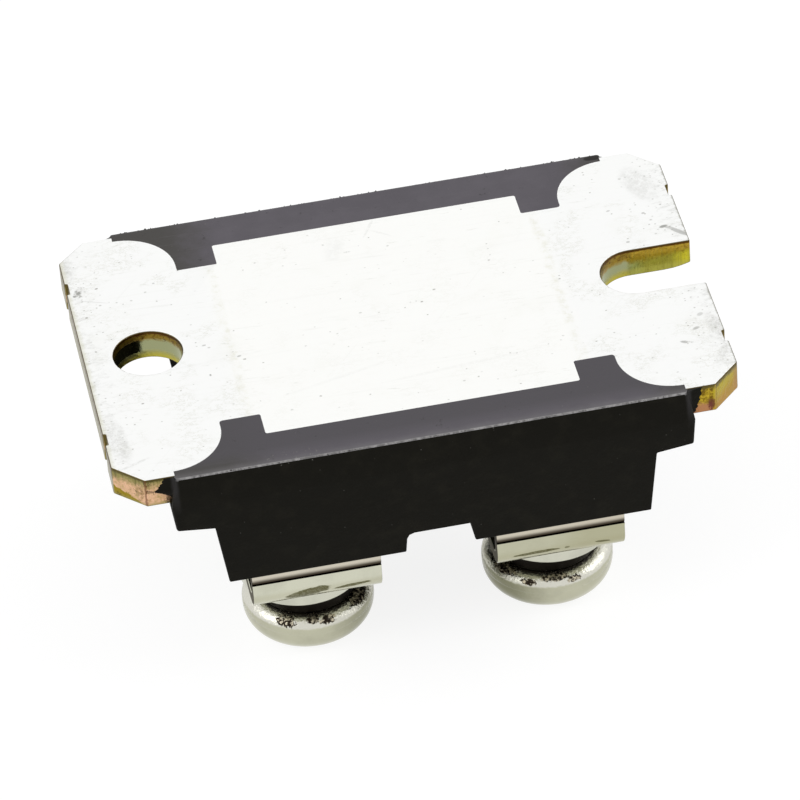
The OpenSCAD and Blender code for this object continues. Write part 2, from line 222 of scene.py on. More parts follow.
# ---- studio: pale floor, soft sky, a softbox on each side
studio = {"floorSize": 6.0, "floorColour": (0.86, 0.86, 0.86), "floorGlow": 0.72, "glowLevel": 1.17,
          "skyDiffuse": 0.66,
          "leftSoftbox": {"place": (-0.86, -0.18, 0.60), "size": 0.72, "radiance": 1.5},
          "rightSoftbox": {"place": (0.84, -0.10, 0.60), "size": 0.66, "radiance": 1.4}}


def seenRay(recipe):  # 1 for what the camera, a mirror or glass sees, 0 for soft light
    path = recipe.add("ShaderNodeLightPath")
    both = recipe.most(path.also("Is Camera Ray"), path.also("Is Glossy Ray"))
    return recipe.most(both, path.also("Is Transmission Ray"))


def makeSky(facts):
    sky = bpy.data.worlds.new("paleSky")
    sky.use_nodes = True
    scene.world = sky
    recipe = Recipe(sky.node_tree)
    background = sky.node_tree.nodes["Background"]
    background.inputs["Color"].default_value = (1.0, 1.0, 1.0, 1.0)
    strength = seenRay(recipe) * (1.0 - facts["skyDiffuse"]) + facts["skyDiffuse"]
    plug(recipe.tree, strength, background.inputs["Strength"])


def makeFloor(facts):
    half = facts["floorSize"] / 2
    mesh = bpy.data.meshes.new("floor")
    corners = [(-half, -half, 0), (half, -half, 0), (half, half, 0), (-half, half, 0)]
    mesh.from_pydata(corners, [], [(0, 1, 2, 3)])
    floor = bpy.data.objects.new("floor", mesh)
    scene.collection.objects.link(floor)
    finish = Finish("paleFloor")
    finish.dress(Base_Color=facts["floorColour"], Roughness=0.9, Specular_IOR_Level=0.0)
    glow = finish.add("ShaderNodeEmission", None,
                      {"Color": (1.0, 1.0, 1.0, 1.0), "Strength": facts["glowLevel"]})
    share = seenRay(finish) * facts["floorGlow"]
    blend = finish.add("ShaderNodeMixShader", None, {0: share, 2: glow})
    finish.tree.links.new(finish.shader.outputs[0], blend.socket.node.inputs[1])
    plug(finish.tree, blend, finish.tree.nodes["Material Output"].inputs["Surface"])
    floor.data.materials.append(finish.material)


def makeSoftbox(name, facts):
    lamp = bpy.data.lights.new(name, "AREA")
    lamp.size = facts["size"]
    lamp.energy = facts["radiance"] * math.pi * lamp.size ** 2
    holder = bpy.data.objects.new(name, lamp)
    holder.location = facts["place"]
    aim = Vector((0.0, 0.0, 0.01)) - holder.location
    holder.rotation_mode = "QUATERNION"
    holder.rotation_quaternion = aim.to_track_quat("-Z", "Y")
    scene.collection.objects.link(holder)


makeSky(studio)
makeFloor(studio)
for name in ("leftSoftbox", "rightSoftbox"):
    makeSoftbox(name, studio[name])
print("camera and studio set")


def times(colour, factor):
    return tuple(c * factor for c in colour)


# ---- finishes; each noise is given as stretch, scale, detail, roughness, seed and, for some, a turn
def stains(finish, marks, ragged, soft):  # x, y, half length, half width, turn in degrees, strength
    shapes = []
    for cx, cy, long, wide, turn, strength in marks:
        c, n = math.cos(math.radians(turn)), math.sin(math.radians(turn))
        dx, dy = finish.x - cx, finish.y - cy
        along = (dx * c + dy * n) / long
        across = (dy * c - dx * n) / wide
        shapes.append(finish.blot(along, across, ragged, 1.0 - soft, 1.0 + soft) * strength)
    return reduce(finish.most, shapes)


plateLook = {"plating": (0.968, 0.970, 0.948), "ends": (0.952, 0.957, 0.946),
             "tarnish": (0.60, 0.585, 0.40), "rolled": (0.70, 0.70, 0.66), "dragged": (0.55, 0.55, 0.50),
             "scratched": (0.50, 0.50, 0.46), "blotched": (0.72, 0.72, 0.60), "dashed": (0.48, 0.48, 0.41),
             "fretted": (0.52, 0.52, 0.42), "grime": (0.50, 0.50, 0.47), "scar": (0.34, 0.34, 0.32),
             "hem": (0.36, 0.36, 0.31), "speck": (0.20, 0.19, 0.15)}
plateNoise = {"sway": (None, 0.35, 2.0, 0.5, 0.0), "rolled": ((0.10, 4.6, 1.0), 1.0, 4.0, 0.65, 2.0),
              "drag": ((0.16, 2.6, 1.0), 1.0, 3.0, 0.7, 9.0, 0.07), "dragZone": (None, 0.35, 2.0, 0.5, 4.0),
              "scratch": ((0.12, 3.4, 1.0), 1.0, 2.0, 0.6, 19.0, -0.9), "wander": (None, 0.8, 3.0, 0.6, 7.0),
              "broken": (None, 1.9, 4.0, 0.75, 27.0), "blotch": (None, 0.24, 4.0, 0.6, 12.0),
              "dash": ((0.9, 6.0, 1.0), 1.0, 3.0, 0.7, 61.0, 0.07), "dashZone": (None, 0.45, 2.0, 0.5, 63.0),
              "fret": ((0.8, 1.5, 1.0), 1.6, 4.0, 0.75, 91.0, 0.07), "fretZone": (None, 0.42, 3.0, 0.6, 93.0),
              "worn": ((1.5, 2.7, 1.0), 1.0, 5.0, 0.8, 41.0), "mottle": (None, 3.6, 4.0, 0.8, 51.0),
              "jitter": (None, 6.0, 2.0, 0.5, 3.0), "cluster": (None, 0.55, 3.0, 0.6, 21.0)}
plateStains = [(-18.2, -7.9, 1.9, 0.55, 95, 0.40), (18.65, -6.9, 1.6, 0.42, 100, 0.50),
               (-18.75, 10.2, 0.9, 0.35, 80, 0.50), (17.25, 8.55, 1.7, 0.85, 105, 0.30),
               (-18.3, 7.0, 0.5, 0.22, 60, 0.90), (-2.3, 7.1, 1.1, 0.55, 62, 0.12),
               (0.1, 8.6, 0.9, 0.09, 62, 0.22), (0.75, 8.0, 0.7, 0.08, -38, 0.16),
               (-1.58, 6.63, 0.22, 0.06, 0, 0.75), (16.6, -7.6, 0.35, 0.10, -25, 0.65),
               (-12.6, -1.9, 5.0, 0.10, 4, 0.07), (3.0, -6.2, 4.5, 0.13, 5, 0.09),
               (-17.6, -10.3, 1.0, 0.10, 22, 0.30), (-4.4, -5.4, 3.4, 0.12, 14, 0.08),
               (-18.65, 9.4, 1.0, 0.34, 95, 0.42), (18.4, -9.2, 0.9, 0.30, 60, 0.40)]
plateScars = [(18.55, 3.20, 0.70, 0.17, -48, 0.62), (18.05, 3.75, 0.45, 0.12, -35, 0.50),
              (17.75, 3.95, 0.26, 0.12, 12, 1.0), (-18.56, 6.69, 0.10, 0.09, 0, 0.85),
              (-18.28, 6.95, 0.15, 0.11, 40, 0.95), (-18.40, 7.15, 0.10, 0.07, 0, 0.80),
              (-18.20, 6.62, 0.09, 0.07, 0, 0.70), (-17.55, 5.86, 0.95, 0.030, -22, 0.30),
              (16.84, 5.60, 0.11, 0.08, 0, 0.60), (14.80, 6.38, 0.13, 0.08, 20, 0.45),
              (15.30, 2.98, 0.12, 0.08, 0, 0.60), (17.91, -5.17, 0.20, 0.14, 30, 0.40),
              (17.37, -6.44, 0.22, 0.12, 25, 0.55), (16.36, -7.57, 0.24, 0.10, -30, 0.60),
              (-11.69, -0.18, 0.13, 0.07, 10, 0.55), (-9.80, -1.77, 0.14, 0.08, 20, 0.55),
              (-11.79, -3.13, 0.06, 0.10, 0, 0.70), (-13.66, 6.71, 0.08, 0.07, 0, 0.50)]


def specks(finish, scale, radius, share, jitter):  # a dot in that share of the cells of a scattered pattern
    skewed = finish.stretch(finish.spot, (0.75, 1.1, 1.0))
    cells = finish.add("ShaderNodeTexVoronoi", {"voronoi_dimensions": "2D"},
                       {"Vector": skewed, "Scale": scale, "Randomness": 1.0})
    chance = finish.add("ShaderNodeSeparateColor", None, {0: cells.also("Color")})
    dot = 1 - finish.step(cells + jitter, radius * 0.4, radius)
    return dot * finish.step(chance + share, 0.99, 1.0) * (chance.also("Green") * 0.75 + 0.25)


def platedFace(finish):  # the bright face: drag marks, two faint mould lines, specks, grimy ends
    x, step, field = finish.x, finish.step, finish.fields(plateNoise)
    worn = field["worn"]
    endShare = step(abs(x) + field["sway"] * 1.6, 10.4, 12.0)
    drags = step(field["drag"], 0.60, 0.66) * step(field["dragZone"], 0.46, 0.60)
    mouldLine = 1 - step(abs(abs(x) - 10.15 + (field["wander"] - 0.5) * 0.9), 0.06, 0.40)
    broken = step(field["broken"], 0.44, 0.66)
    dashes = step(field["dash"], 0.62, 0.70) * step(field["dashZone"], 0.44, 0.62)
    fretZone = step(field["fretZone"], 0.46, 0.62) * (endShare * 0.7 + 0.3)
    fretted = (1 - step(abs(field["fret"] - 0.5), 0.006, 0.030)) * fretZone

    ends = step(abs(x), 15.6, 18.9)
    grime = step(worn + ends * 0.15, 0.60, 0.86) * ends * 0.50
    ragged = (worn - 0.5) * 2.6
    mottle = step(field["mottle"], 0.38, 0.60) * 0.95 + 0.12
    grime = finish.most(grime, stains(finish, plateStains, ragged, 0.8) * mottle)
    scarred = stains(finish, plateScars, ragged * 0.45, 0.7)
    border = step(abs(x) + worn * 0.5, 18.85, 19.25)
    hem = step(x + (worn - 0.5) * 0.35, 18.84, 18.95)

    cluster = step(field["cluster"], 0.50, 0.68)
    large = specks(finish, 1.4, 0.13, ends * 0.05 + cluster * 0.03 + 0.014, field["jitter"] * 0.20 - 0.10)
    small = specks(finish, 3.3, 0.20, ends * 0.26 + cluster * 0.10 + 0.010, field["jitter"] * 0.30 - 0.15)
    speckle = finish.least(large * 0.80 + small * 0.55, 0.8)
    bright = finish.coats(
        finish.mix(endShare, "plating", "ends"),
        (step(field["rolled"], 0.52, 0.80) * 0.10, "rolled"),
        (drags * 0.12, "dragged"),
        (step(field["scratch"], 0.68, 0.715) * 0.05, "scratched"),
        (mouldLine * (broken * 0.24 + 0.02), "tarnish"),
        (step(field["blotch"], 0.56, 0.70) * 0.06, "blotched"),
        (dashes * 0.30, "dashed"),
        (fretted * 0.30, "fretted"),
        (finish.least(grime, 0.9), "grime"),
        (finish.least(scarred, 0.9), "scar"),
        (border * step(1.0 - x, 0.0, 1.0) * 0.5, "tarnish"),
        (hem * 0.55, "hem"),
        (speckle, "speck"))
    return bright, field["rolled"], speckle


wallLook = {"yellow": (0.44, 0.385, 0.055), "greyGreen": (0.300, 0.315, 0.168),
            "gold": (0.27, 0.180, 0.026), "brown": (0.085, 0.032, 0.005), "olive": (0.24, 0.21, 0.035),
            "rim": (0.10, 0.075, 0.025), "slotDeep": (0.27, 0.30, 0.085),
            "slotMiddle": (0.280, 0.26, 0.032), "slotMouth": (0.56, 0.50, 0.030),
            "slotFoot": (0.43, 0.41, 0.080), "slotBand": (0.29, 0.200, 0.012),
            "slotCrest": (0.47, 0.310, 0.035), "slotFleck": (0.56, 0.46, 0.10),
            "copper": (0.78, 0.49, 0.31), "dimCopper": (0.60, 0.38, 0.20), "patch": (0.42, 0.31, 0.12),
            "ring": (0.34, 0.22, 0.09), "blob": (0.30, 0.22, 0.012), "topBand": (0.27, 0.245, 0.075),
            "streak": (0.11, 0.10, 0.025), "freckle": (0.20, 0.11, 0.04), "leftRim": (0.07, 0.06, 0.018),
            "leftFoot": (0.30, 0.27, 0.09), "crack": (0.035, 0.02, 0.01), "rightFoot": (0.45, 0.25, 0.038),
            "rightCrest": (0.47, 0.375, 0.028), "rightLine": (0.40, 0.28, 0.04),
            "rightEnd": (0.36, 0.19, 0.08), "frontGold": (0.53, 0.38, 0.032),
            "frontBrown": (0.17, 0.10, 0.009), "rightRim": (0.11, 0.085, 0.025),
            "frontFoot": (0.42, 0.20, 0.09), "red": (0.11, 0.024, 0.024), "leftCorner": (0.16, 0.06, 0.03),
            "rightCornerGlint": (0.45, 0.32, 0.080), "endWall": (0.33, 0.31, 0.215),
            "endTop": (0.17, 0.145, 0.075), "endRim": (0.10, 0.065, 0.03), "endFleck": (0.12, 0.09, 0.04),
            "notchLight": (0.135, 0.10, 0.022), "notchDark": (0.07, 0.05, 0.015)}
wallNoise = {"ragged": (None, 2.2, 4.0, 0.65, 5.0), "fine": (None, 6.5, 3.0, 0.7, 13.0),
             "lines": ((7.0, 7.0, 0.35), 1.0, 3.0, 0.65, 3.0), "grainy": (None, 4.4, 5.0, 0.8, 71.0),
             "patchy": (None, 1.5, 4.0, 0.7, 45.0), "crack": (None, 1.0, 5.0, 0.7, 8.0),
             "crackZone": (None, 0.9, 2.0, 0.5, 2.0), "sheared": ((4.0, 6.0, 0.3), 1.0, 3.0, 0.65, 81.0)}


def cutWall(finish):  # punched and sheared edges: rolled brown rim, burnished band, torn copper
    x, y, step, mix, coats = finish.x, finish.y, finish.step, finish.mix, finish.coats
    field = finish.fields(wallNoise)
    ragged, grainy, lines = field["ragged"] - 0.5, field["grainy"], field["lines"]
    level = (finish.z - (faceHeight - plateThickness)) / plateThickness
    rough = level + ragged * 0.20

    lifted = level + step(x, -1.0, 1.0) * 0.11 + 0.02
    hole = coats(
        mix(step(rough, 0.06, 0.36), "yellow", "greyGreen"),
        (step(lifted + ragged * 0.3, 0.66, 0.80), "gold"),
        (step(level + ragged * 0.2, 0.86, 0.93), "brown"),
        (step(level, 0.62, 0.72) * step(field["fine"], 0.50, 0.60) * 0.7, "brown"))

    low = coats(
        mix(step(x + ragged, 15.2, 16.4), "slotDeep", "slotMiddle"),
        (step(x + ragged, 17.5, 18.9), "slotMouth"),
        (step(0.34 - rough, 0.0, 0.16) * 0.6, "slotFoot"))
    high = mix(step(level + ragged * 0.2, 0.60, 0.86), "slotBand", "slotCrest")
    pocked = step(grainy + level * 0.08, 0.55, 0.70)
    slot = coats(
        mix(step(rough + (17.0 - x) * 0.04, 0.44, 0.70), low, high),
        (step(lines, 0.46, 0.64) * 0.40, "olive"),
        (pocked * (level * 0.45 + 0.25), "brown"),
        (step(0.44 - grainy, 0.0, 0.10) * 0.4, "slotFleck"),
        (step(level + ragged * 0.1, 0.88, 0.94), "brown"))
    straight = step(x + ragged * 0.8, 14.8, 15.4) * (1 - step(abs(y), 2.3, 2.5))

    ringX, ringZ = (x + 17.58) * 1.3, (level - 0.52) * plateThickness
    ringGap = abs((ringX * ringX + ringZ * ringZ) ** 0.5 - 0.19 + ragged * 0.15)
    blob = step(0.34 - level - (x + 18.4) * 0.30 - (x + 18.0) * (x + 18.0) * 0.12 + ragged * 0.55, 0.0, 0.06)
    topBand = level + (grainy - 0.5) * 0.5 + ragged * 0.25 - (x + 17.3) * 0.05
    streaked = step(lines, 0.47, 0.62) * step(level + ragged * 0.3, 0.58, 0.74)
    freckled = step(grainy - abs(x + 17.5) * 0.12, 0.52, 0.62)
    uneven = level + (grainy - 0.5) * 0.2
    tear = 1 - step(abs(level - 0.57 + (x + 17.2) * 0.12 + (grainy - 0.5) * 0.60), 0.010, 0.045)
    left = coats(
        mix(step(grainy, 0.38, 0.64), "copper", "dimCopper"),
        (step(field["patchy"], 0.52, 0.66) * 0.75, "patch"),
        ((1 - step(ringGap + (grainy - 0.5) * 0.1, 0.03, 0.16)) * 0.7, "ring"),
        (blob * step(-17.4 - x, 0.0, 0.2), "blob"),
        (step(topBand, 0.60, 0.88) * 0.9, "topBand"),
        (streaked * 0.6, "streak"),
        (freckled * 0.6, "freckle"),
        (step(uneven, 0.84, 0.98), "leftRim"),
        (step(uneven, 0.16, 0.02) * 0.8, "leftFoot"),
        (tear * finish.within(x, -17.2, -16.4, 0.08) * 0.85, "crack"))

    murky = grainy + level * 0.16 - 0.06
    golden = mix(step(murky, 0.45, 0.62), "frontGold", "frontBrown")
    lowFront = step(0.40 - level + ragged * 0.4, 0.0, 0.12) * step(17.1 - x, 0.0, 0.15)
    redX, redZ = (x - 16.98 + ragged * 0.7) / 0.30, (level - 0.30 + (grainy - 0.5) * 0.8) / 0.24
    right = coats(
        mix(step(rough + (17.2 - x) * 0.10, 0.12, 0.66), "rightFoot", "rightCrest"),
        (step(lines, 0.46, 0.66) * 0.5, "rightLine"),
        (step(18.95 - x - level * 0.2, 0.30, 0.0) * 0.55, "rightEnd"),
        (step(17.15 - x, 0.0, 0.12), golden),
        (step(level + (grainy - 0.5) * 0.3, 0.76, 0.96), "rightRim"),
        (lowFront, "frontFoot"),
        ((1 - step(redX * redX + redZ * redZ, 0.30, 1.3)) * 0.85, "red"))

    sheared = step(field["sheared"], 0.50, 0.70)
    endWall = coats(
        mix(step(level + ragged * 0.22, 0.52, 0.66), "endWall", "endTop"),
        (step(level + ragged * 0.2, 0.84, 0.94), "endRim"),
        (sheared * 0.45, "olive"),
        (step(grainy, 0.56, 0.72) * 0.5, "endFleck"))
    cracks = (1 - step(abs(field["crack"] - 0.5), 0.004, 0.016)) * step(field["crackZone"], 0.5, 0.6)
    # a dark line at the corner on the left end; on the right end the same line is a painted highlight
    cornerLine = 1 - step(abs(abs(x) - 17.25 + (grainy - 0.5) * 0.3), 0.02, 0.10)
    notch = finish.within(abs(x), 18.0, 18.92, 0.03) * (1 - step(abs(y), 10.0, 10.15))
    outer = coats(
        mix(step(x, -2.0, 2.0), left, right),
        (cracks * step(0.0 - x, -2.0, 2.0) * 0.8, "crack"),
        (cornerLine * 0.7, mix(step(x, -2.0, 2.0), "leftCorner", "rightCornerGlint")),
        (step(abs(x), 18.93, 18.985), endWall),
        (notch, mix(sheared, "notchLight", "notchDark")))
    outside = finish.most(step(abs(y), 2.4, 2.7), step(abs(x), 18.95, 18.995))
    burnish = (1 - outside) * finish.within(level, 0.30, 0.70, 0.04) * (1 - straight)
    return mix(outside, mix(straight, hole, slot), outer), ragged, burnish


def plateFinish():
    finish = Finish("platedCopper", {**plateLook, **wallLook})
    bright, rolled, speckle = platedFace(finish)
    wall, ragged, burnish = cutWall(finish)
    facing = abs(finish.facingZ)
    cut = 1 - finish.step(facing, 0.80, 0.93)
    wall = finish.mix(finish.step(facing, 0.12, 0.5), wall, "rim")
    grain = finish.field((0.5, 9.0, 1.0), 1.0, 4.0, 0.7, 6.0)
    roughFace = 0.30 + grain * 0.10 + speckle * 0.25
    roughCut = 0.36 + ragged * 0.3 - burnish * 0.22
    height = rolled * (1 - cut) * 0.4 + ragged * cut * (1 - burnish * 0.85) * 2.4
    return finish.dress(Base_Color=finish.mix(cut, bright, wall), Metallic=1.0,
                        Roughness=roughFace * (1 - cut) + roughCut * cut, Normal=finish.relief(height, 0.035))


resinLook = {"side": (0.0074, 0.0068, 0.0046), "flush": (0.124, 0.115, 0.130),
             "flushLight": (0.142, 0.132, 0.149), "flushEnd": (0.086, 0.082, 0.078),
             "mark": (0.180, 0.168, 0.180), "inner": (0.100, 0.094, 0.103), "hem": (0.190, 0.183, 0.190),
             "dark": (0.045, 0.042, 0.040), "chip": (0.026, 0.024, 0.023), "rim": (0.40, 0.39, 0.39),
             "cornerSheen": (0.046, 0.044, 0.045), "dust": (0.30, 0.30, 0.27)}
resinNoise = {"cloud": (None, 0.45, 4.0, 0.6, 1.0), "reach": (None, 0.9, 3.0, 0.6, 37.0),
              "marks": ((0.4, 5.0, 1.0), 1.0, 4.0, 0.7, 2.0), "dark": (None, 1.7, 4.0, 0.7, 23.0),
              "side": (None, 0.9, 4.0, 0.6, 3.0), "flow": ((0.25, 1.0, 3.0), 1.0, 4.0, 0.7, 6.0),
              "worn": (None, 3.4, 4.0, 0.7, 31.0), "sparse": (None, 0.8, 2.0, 0.5, 14.0),
              "grit": (None, 5.0, 2.0, 0.6, 35.0), "grain": (None, 7.0, 3.0, 0.6, 5.0),
              "pits": (None, 2.0, 4.0, 0.65, 11.0)}


def resinFinish():
    finish = Finish("blackResin", resinLook)
    x, y, z, step, mix = finish.x, finish.y, finish.z, finish.step, finish.mix
    field = finish.fields(resinNoise)
    cloud, grain = field["cloud"], field["grain"]
    lapped = step(z, faceHeight - 0.06, faceHeight - 0.02) * step(finish.facingZ, 0.80, 0.97)
    near = 1 - step(y, -1.0, 1.0)
    reach = abs(x) + (field["reach"] - 0.5) * 3.0
    reach = reach + step(0.0 - x, -1.0, 1.0) * 3.3
    chipX, chipY = (x - 15.03) / 0.55, (y - 11.96 + (cloud - 0.5) * 0.4) / 0.26
    chip = finish.blot(chipX, chipY, (cloud - 0.5) * 1.2, 0.5, 1.2)
    flush = finish.coats(
        mix(step(cloud, 0.35, 0.75), "flush", "flushLight"),
        (step(reach, 12.3, 15.6), "flushEnd"),
        (step(field["marks"], 0.55, 0.78) * 0.3, "mark"),
        (step(y + cloud * 0.8, -11.7, -10.2) * near * 0.9, "inner"),
        # painted highlight: lighter towards the front edge of the flush face
        (step(cloud * 0.5 - y, 11.95, 12.7) * near * 0.7, "hem"),
        (step(field["dark"], 0.62, 0.72) * 0.55, "dark"),
        (chip * 0.85, "chip"))
    side = finish.coats(
        "side",
        (step(field["side"], 0.45, 0.8), times(resinLook["side"], 1.7)),
        (step(field["flow"], 0.60, 0.80) * 0.5, times(resinLook["side"], 2.2)))

    # painted highlight on the rounding of the top edge, broken up by noise and stronger on the front side
    rim = finish.within(finish.facingZ, 0.30, 0.93, 0.05) * step(z, faceHeight - 0.2, faceHeight - 0.1)
    worn = step(field["worn"], 0.40, 0.62) * 0.50 + 0.45
    fade = step(z + (cloud - 0.5) * 1.5, 14.6, 16.6)
    # painted highlight: a lighter upright band at the body's end corners, fading downwards
    cornerSheen = finish.within(abs(x) + (cloud - 0.5) * 0.3, 15.46, 15.60, 0.22) * fade * (1 - lapped)
    cells = finish.add("ShaderNodeTexVoronoi", None, {"Vector": finish.spot, "Scale": 2.4, "Randomness": 1.0})
    high = step(z, faceHeight - 1.4, faceHeight - 0.2) * step(abs(y), 11.4, 12.2)
    dust = (1 - step(cells, 0.04, 0.12)) * step(field["sparse"], 0.56, 0.64) * (high * 0.55 + 0.25)
    gritty = (1 - step(abs(x + 8.4), 0.8, 2.4)) * step(z, faceHeight - 0.35, faceHeight - 0.1)
    grit = step(field["grit"], 0.62, 0.68) * gritty * step(0.0 - y, 11.2, 12.4)
    colour = finish.coats(
        mix(lapped, side, flush),
        (rim * worn * (near * 0.75 + 0.25), "rim"),
        (cornerSheen * 0.6, "cornerSheen"),
        (finish.most(dust, grit), "dust"))
    normal = finish.relief(grain * 0.5 + field["pits"] * (1 - lapped) * 1.2, 0.03)
    return finish.dress(Base_Color=colour, Roughness=0.56 + grain * 0.14 - lapped * 0.10,
                        Specular_IOR_Level=0.065, Normal=normal)


nickelLook = {"strip": (0.610, 0.612, 0.492), "stripDarkRight": (0.410, 0.400, 0.262),
              "washer": (0.61, 0.61, 0.51), "screw": (0.50, 0.495, 0.375), "shoulder": (0.66, 0.65, 0.58),
              "inward": (0.17, 0.17, 0.10), "rivelReflection": (0.014, 0.009, 0.005), "rust": (0.56, 0.40, 0.15),
              "nut": (0.55, 0.55, 0.50), "scuff": (0.105, 0.098, 0.036), "sheared": (0.052, 0.041, 0.024),
              "blush": (0.60, 0.545, 0.455), "foldShade": (0.030, 0.020, 0.010),
              "bodyEdgeShade": (0.05, 0.045, 0.035), "scoreShade": (0.014, 0.009, 0.004), "lower": (0.36, 0.34, 0.20)}


def nickelFinish(name, colour, roughness, wear=0.25):
    finish = Finish(name, nickelLook)
    fine = finish.field((1.0, 1.0, 6.0), 3.0, 4.0, 0.7, 6.0)
    cloud = finish.field(None, 0.5, 3.0, 0.6, 3.0)
    tint = finish.coats(
        colour,
        (finish.step(cloud, 0.35, 0.7), times(nickelLook[colour], 0.88)),
        (finish.step(fine, 0.6, 0.85) * wear, times(nickelLook[colour], 0.5)))
    rough = roughness + finish.step(fine, 0.45, 0.8) * 0.10
    finish.dress(Base_Color=tint, Roughness=rough, Metallic=1.0, Normal=finish.relief(fine * 0.3, 0.012))
    return finish, tint, rough


# dull marks on the near strips: x, z, half sizes, slope, strength
scuffs = [(-8.15, 6.27, 1.40, 0.36, 7, 1.0), (-7.25, 6.42, 0.45, 0.26, 0, 1.0),
          (-5.4, 6.29, 1.20, 0.14, 4, 1.0), (5.95, 6.32, 1.50, 0.14, 1, 1.0),
          (7.85, 6.34, 0.18, 0.09, 0, 0.7), (10.05, 6.34, 0.50, 0.09, -6, 0.9)]
score = {"height": 7.5, "radius": 0.15, "face": 11.55, "high": 7.69, "shade": 8.03, "edge": 8.12}


def stripFinish():
    finish, tint, rough = nickelFinish("polishedStrip", "strip", 0.14)
    x, z, step = finish.x, finish.z, finish.step
    dragged = finish.field((1.2, 6.0, 6.0), 1.0, 4.0, 0.75, 17.0) - 0.5
    shapes = []
    for cx, cz, long, tall, slope, strength in scuffs:
        along = (x - cx) / long
        across = (z - cz - (x - cx) * math.tan(math.radians(slope))) / tall
        shapes.append(finish.blot(along, across, dragged * 2.4, 0.75, 1.05) * strength)
    front = 1 - step(finish.y, -10.4, -10.2)
    grit = step(finish.field(None, 9.0, 3.0, 0.7, 67.0), 0.38, 0.58) * 0.25 + 0.75
    scuffed = reduce(finish.most, shapes) * front * grit
    # darker from the middle towards the right, more so on the right strip
    darkerRight = step(x + dragged, 2.0, 3.4) * 0.60 + step(x + dragged * 2.0, 6.5, 9.5) * 0.40
    outer = step(abs(finish.y), 11.3, 11.34)
    above = step(z, score["height"] - 0.02, score["height"] + 0.02) * outer
    under = 1 - step(z + dragged * 0.05, score["high"], score["shade"])
    # painted shade on the step of the score
    scoreShade = step(score["face"] - 0.02 - abs(finish.y), 0.0, 0.03)
    scoreShade = scoreShade * finish.within(z, score["height"] - 0.05, score["height"] + score["radius"] + 0.02, 0.02)
    lower = step(6.85 - z + dragged * 0.2, 0.0, 0.45) * outer
    # painted dark reflection of the black body on the sheared side edges; their higher roughness is real
    sheared = step(abs(finish.facingX), 0.75, 0.92)
    tint = finish.coats(
        tint,
        (darkerRight * 0.9, "stripDarkRight"),
        (above * 0.8, "blush"),
        (above * under * 0.95, "foldShade"),
        # painted shade on the strip just under the body's lower edge
        (step(z, score["edge"], score["edge"] + 0.14) * outer * 0.8, "bodyEdgeShade"),
        (scoreShade * 0.97, "scoreShade"),
        (lower * 0.28, "lower"),
        (scuffed * 0.98, "scuff"),
        (sheared * 0.9, "sheared"))
    return finish.dress(Base_Color=tint, Roughness=rough + scuffed * 0.25 + sheared * 0.6)


screwHead = {"radius": 4.05, "height": 2.9, "dome": 0.1, "outerEdge": 1.65, "bearingEdge": 0.8,
             "ripple": 0.022, "rippleScale": 900.0, "recessReach": 2.2, "recessDepth": 2.0,
             "recessSlope": 0.75, "recessAbove": 0.4, "wing": 1.0, "shank": 8.0, "shankLength": 8.05,
             "turns": {1: 35, 2: 87, 3: 139, 4: 191}, "rivelRadius": 3.65}
# patches of painted dark reflection on the rivelled shoulder of each head, turned by the camera's azimuth
rivelled = {1: [(-22, 10, 44, 22), (4, 8, 58, 13), (17, 9, 46, 16), (60, 16, 64, 16)],
            2: [(-50, 16, 60, 16), (-20, 7, 36, 16), (4, 15, 58, 12), (22, 7, 38, 14)],
            3: [(-30, 14, 46, 20), (12, 18, 50, 20)],
            4: [(-14, 16, 46, 20), (36, 14, 50, 18)]}  # patches: way round, half width, tilt, half height


def rivelReflections(finish, facts, fine):  # where the shoulder of each head is rivelled, and where a dark reflection is painted on it
    tilt = (finish.z - (facts["height"] - facts["bearingEdge"])) / facts["bearingEdge"]  # 0 side, 1 top
    shapes = []
    for number, patches in rivelled.items():
        cx, cy = terminalSpots[number]
        side = 1 if cy < 0 else -1
        for way, half, middle, span in patches:
            bearing = math.radians(way - photoView["azimuth"] * side)
            ax, ay = math.sin(bearing), -math.cos(bearing) * side
            radius = facts["rivelRadius"]
            off = ((finish.x - (cx + ax * radius)) * ay * -1 + (finish.y - (cy + ay * radius)) * ax) / (
                radius * math.sin(math.radians(half)))
            out = ((finish.x - cx) * ax + (finish.y - cy) * ay).work("GREATER_THAN", 2.0)
            rise = (tilt - math.sin(math.radians(middle))) / (math.sin(math.radians(span)) * 0.9)
            shapes.append(finish.blot(off, rise, (fine - 0.5) * 4.4, 0.75, 1.05) * out)
    return reduce(finish.most, shapes)


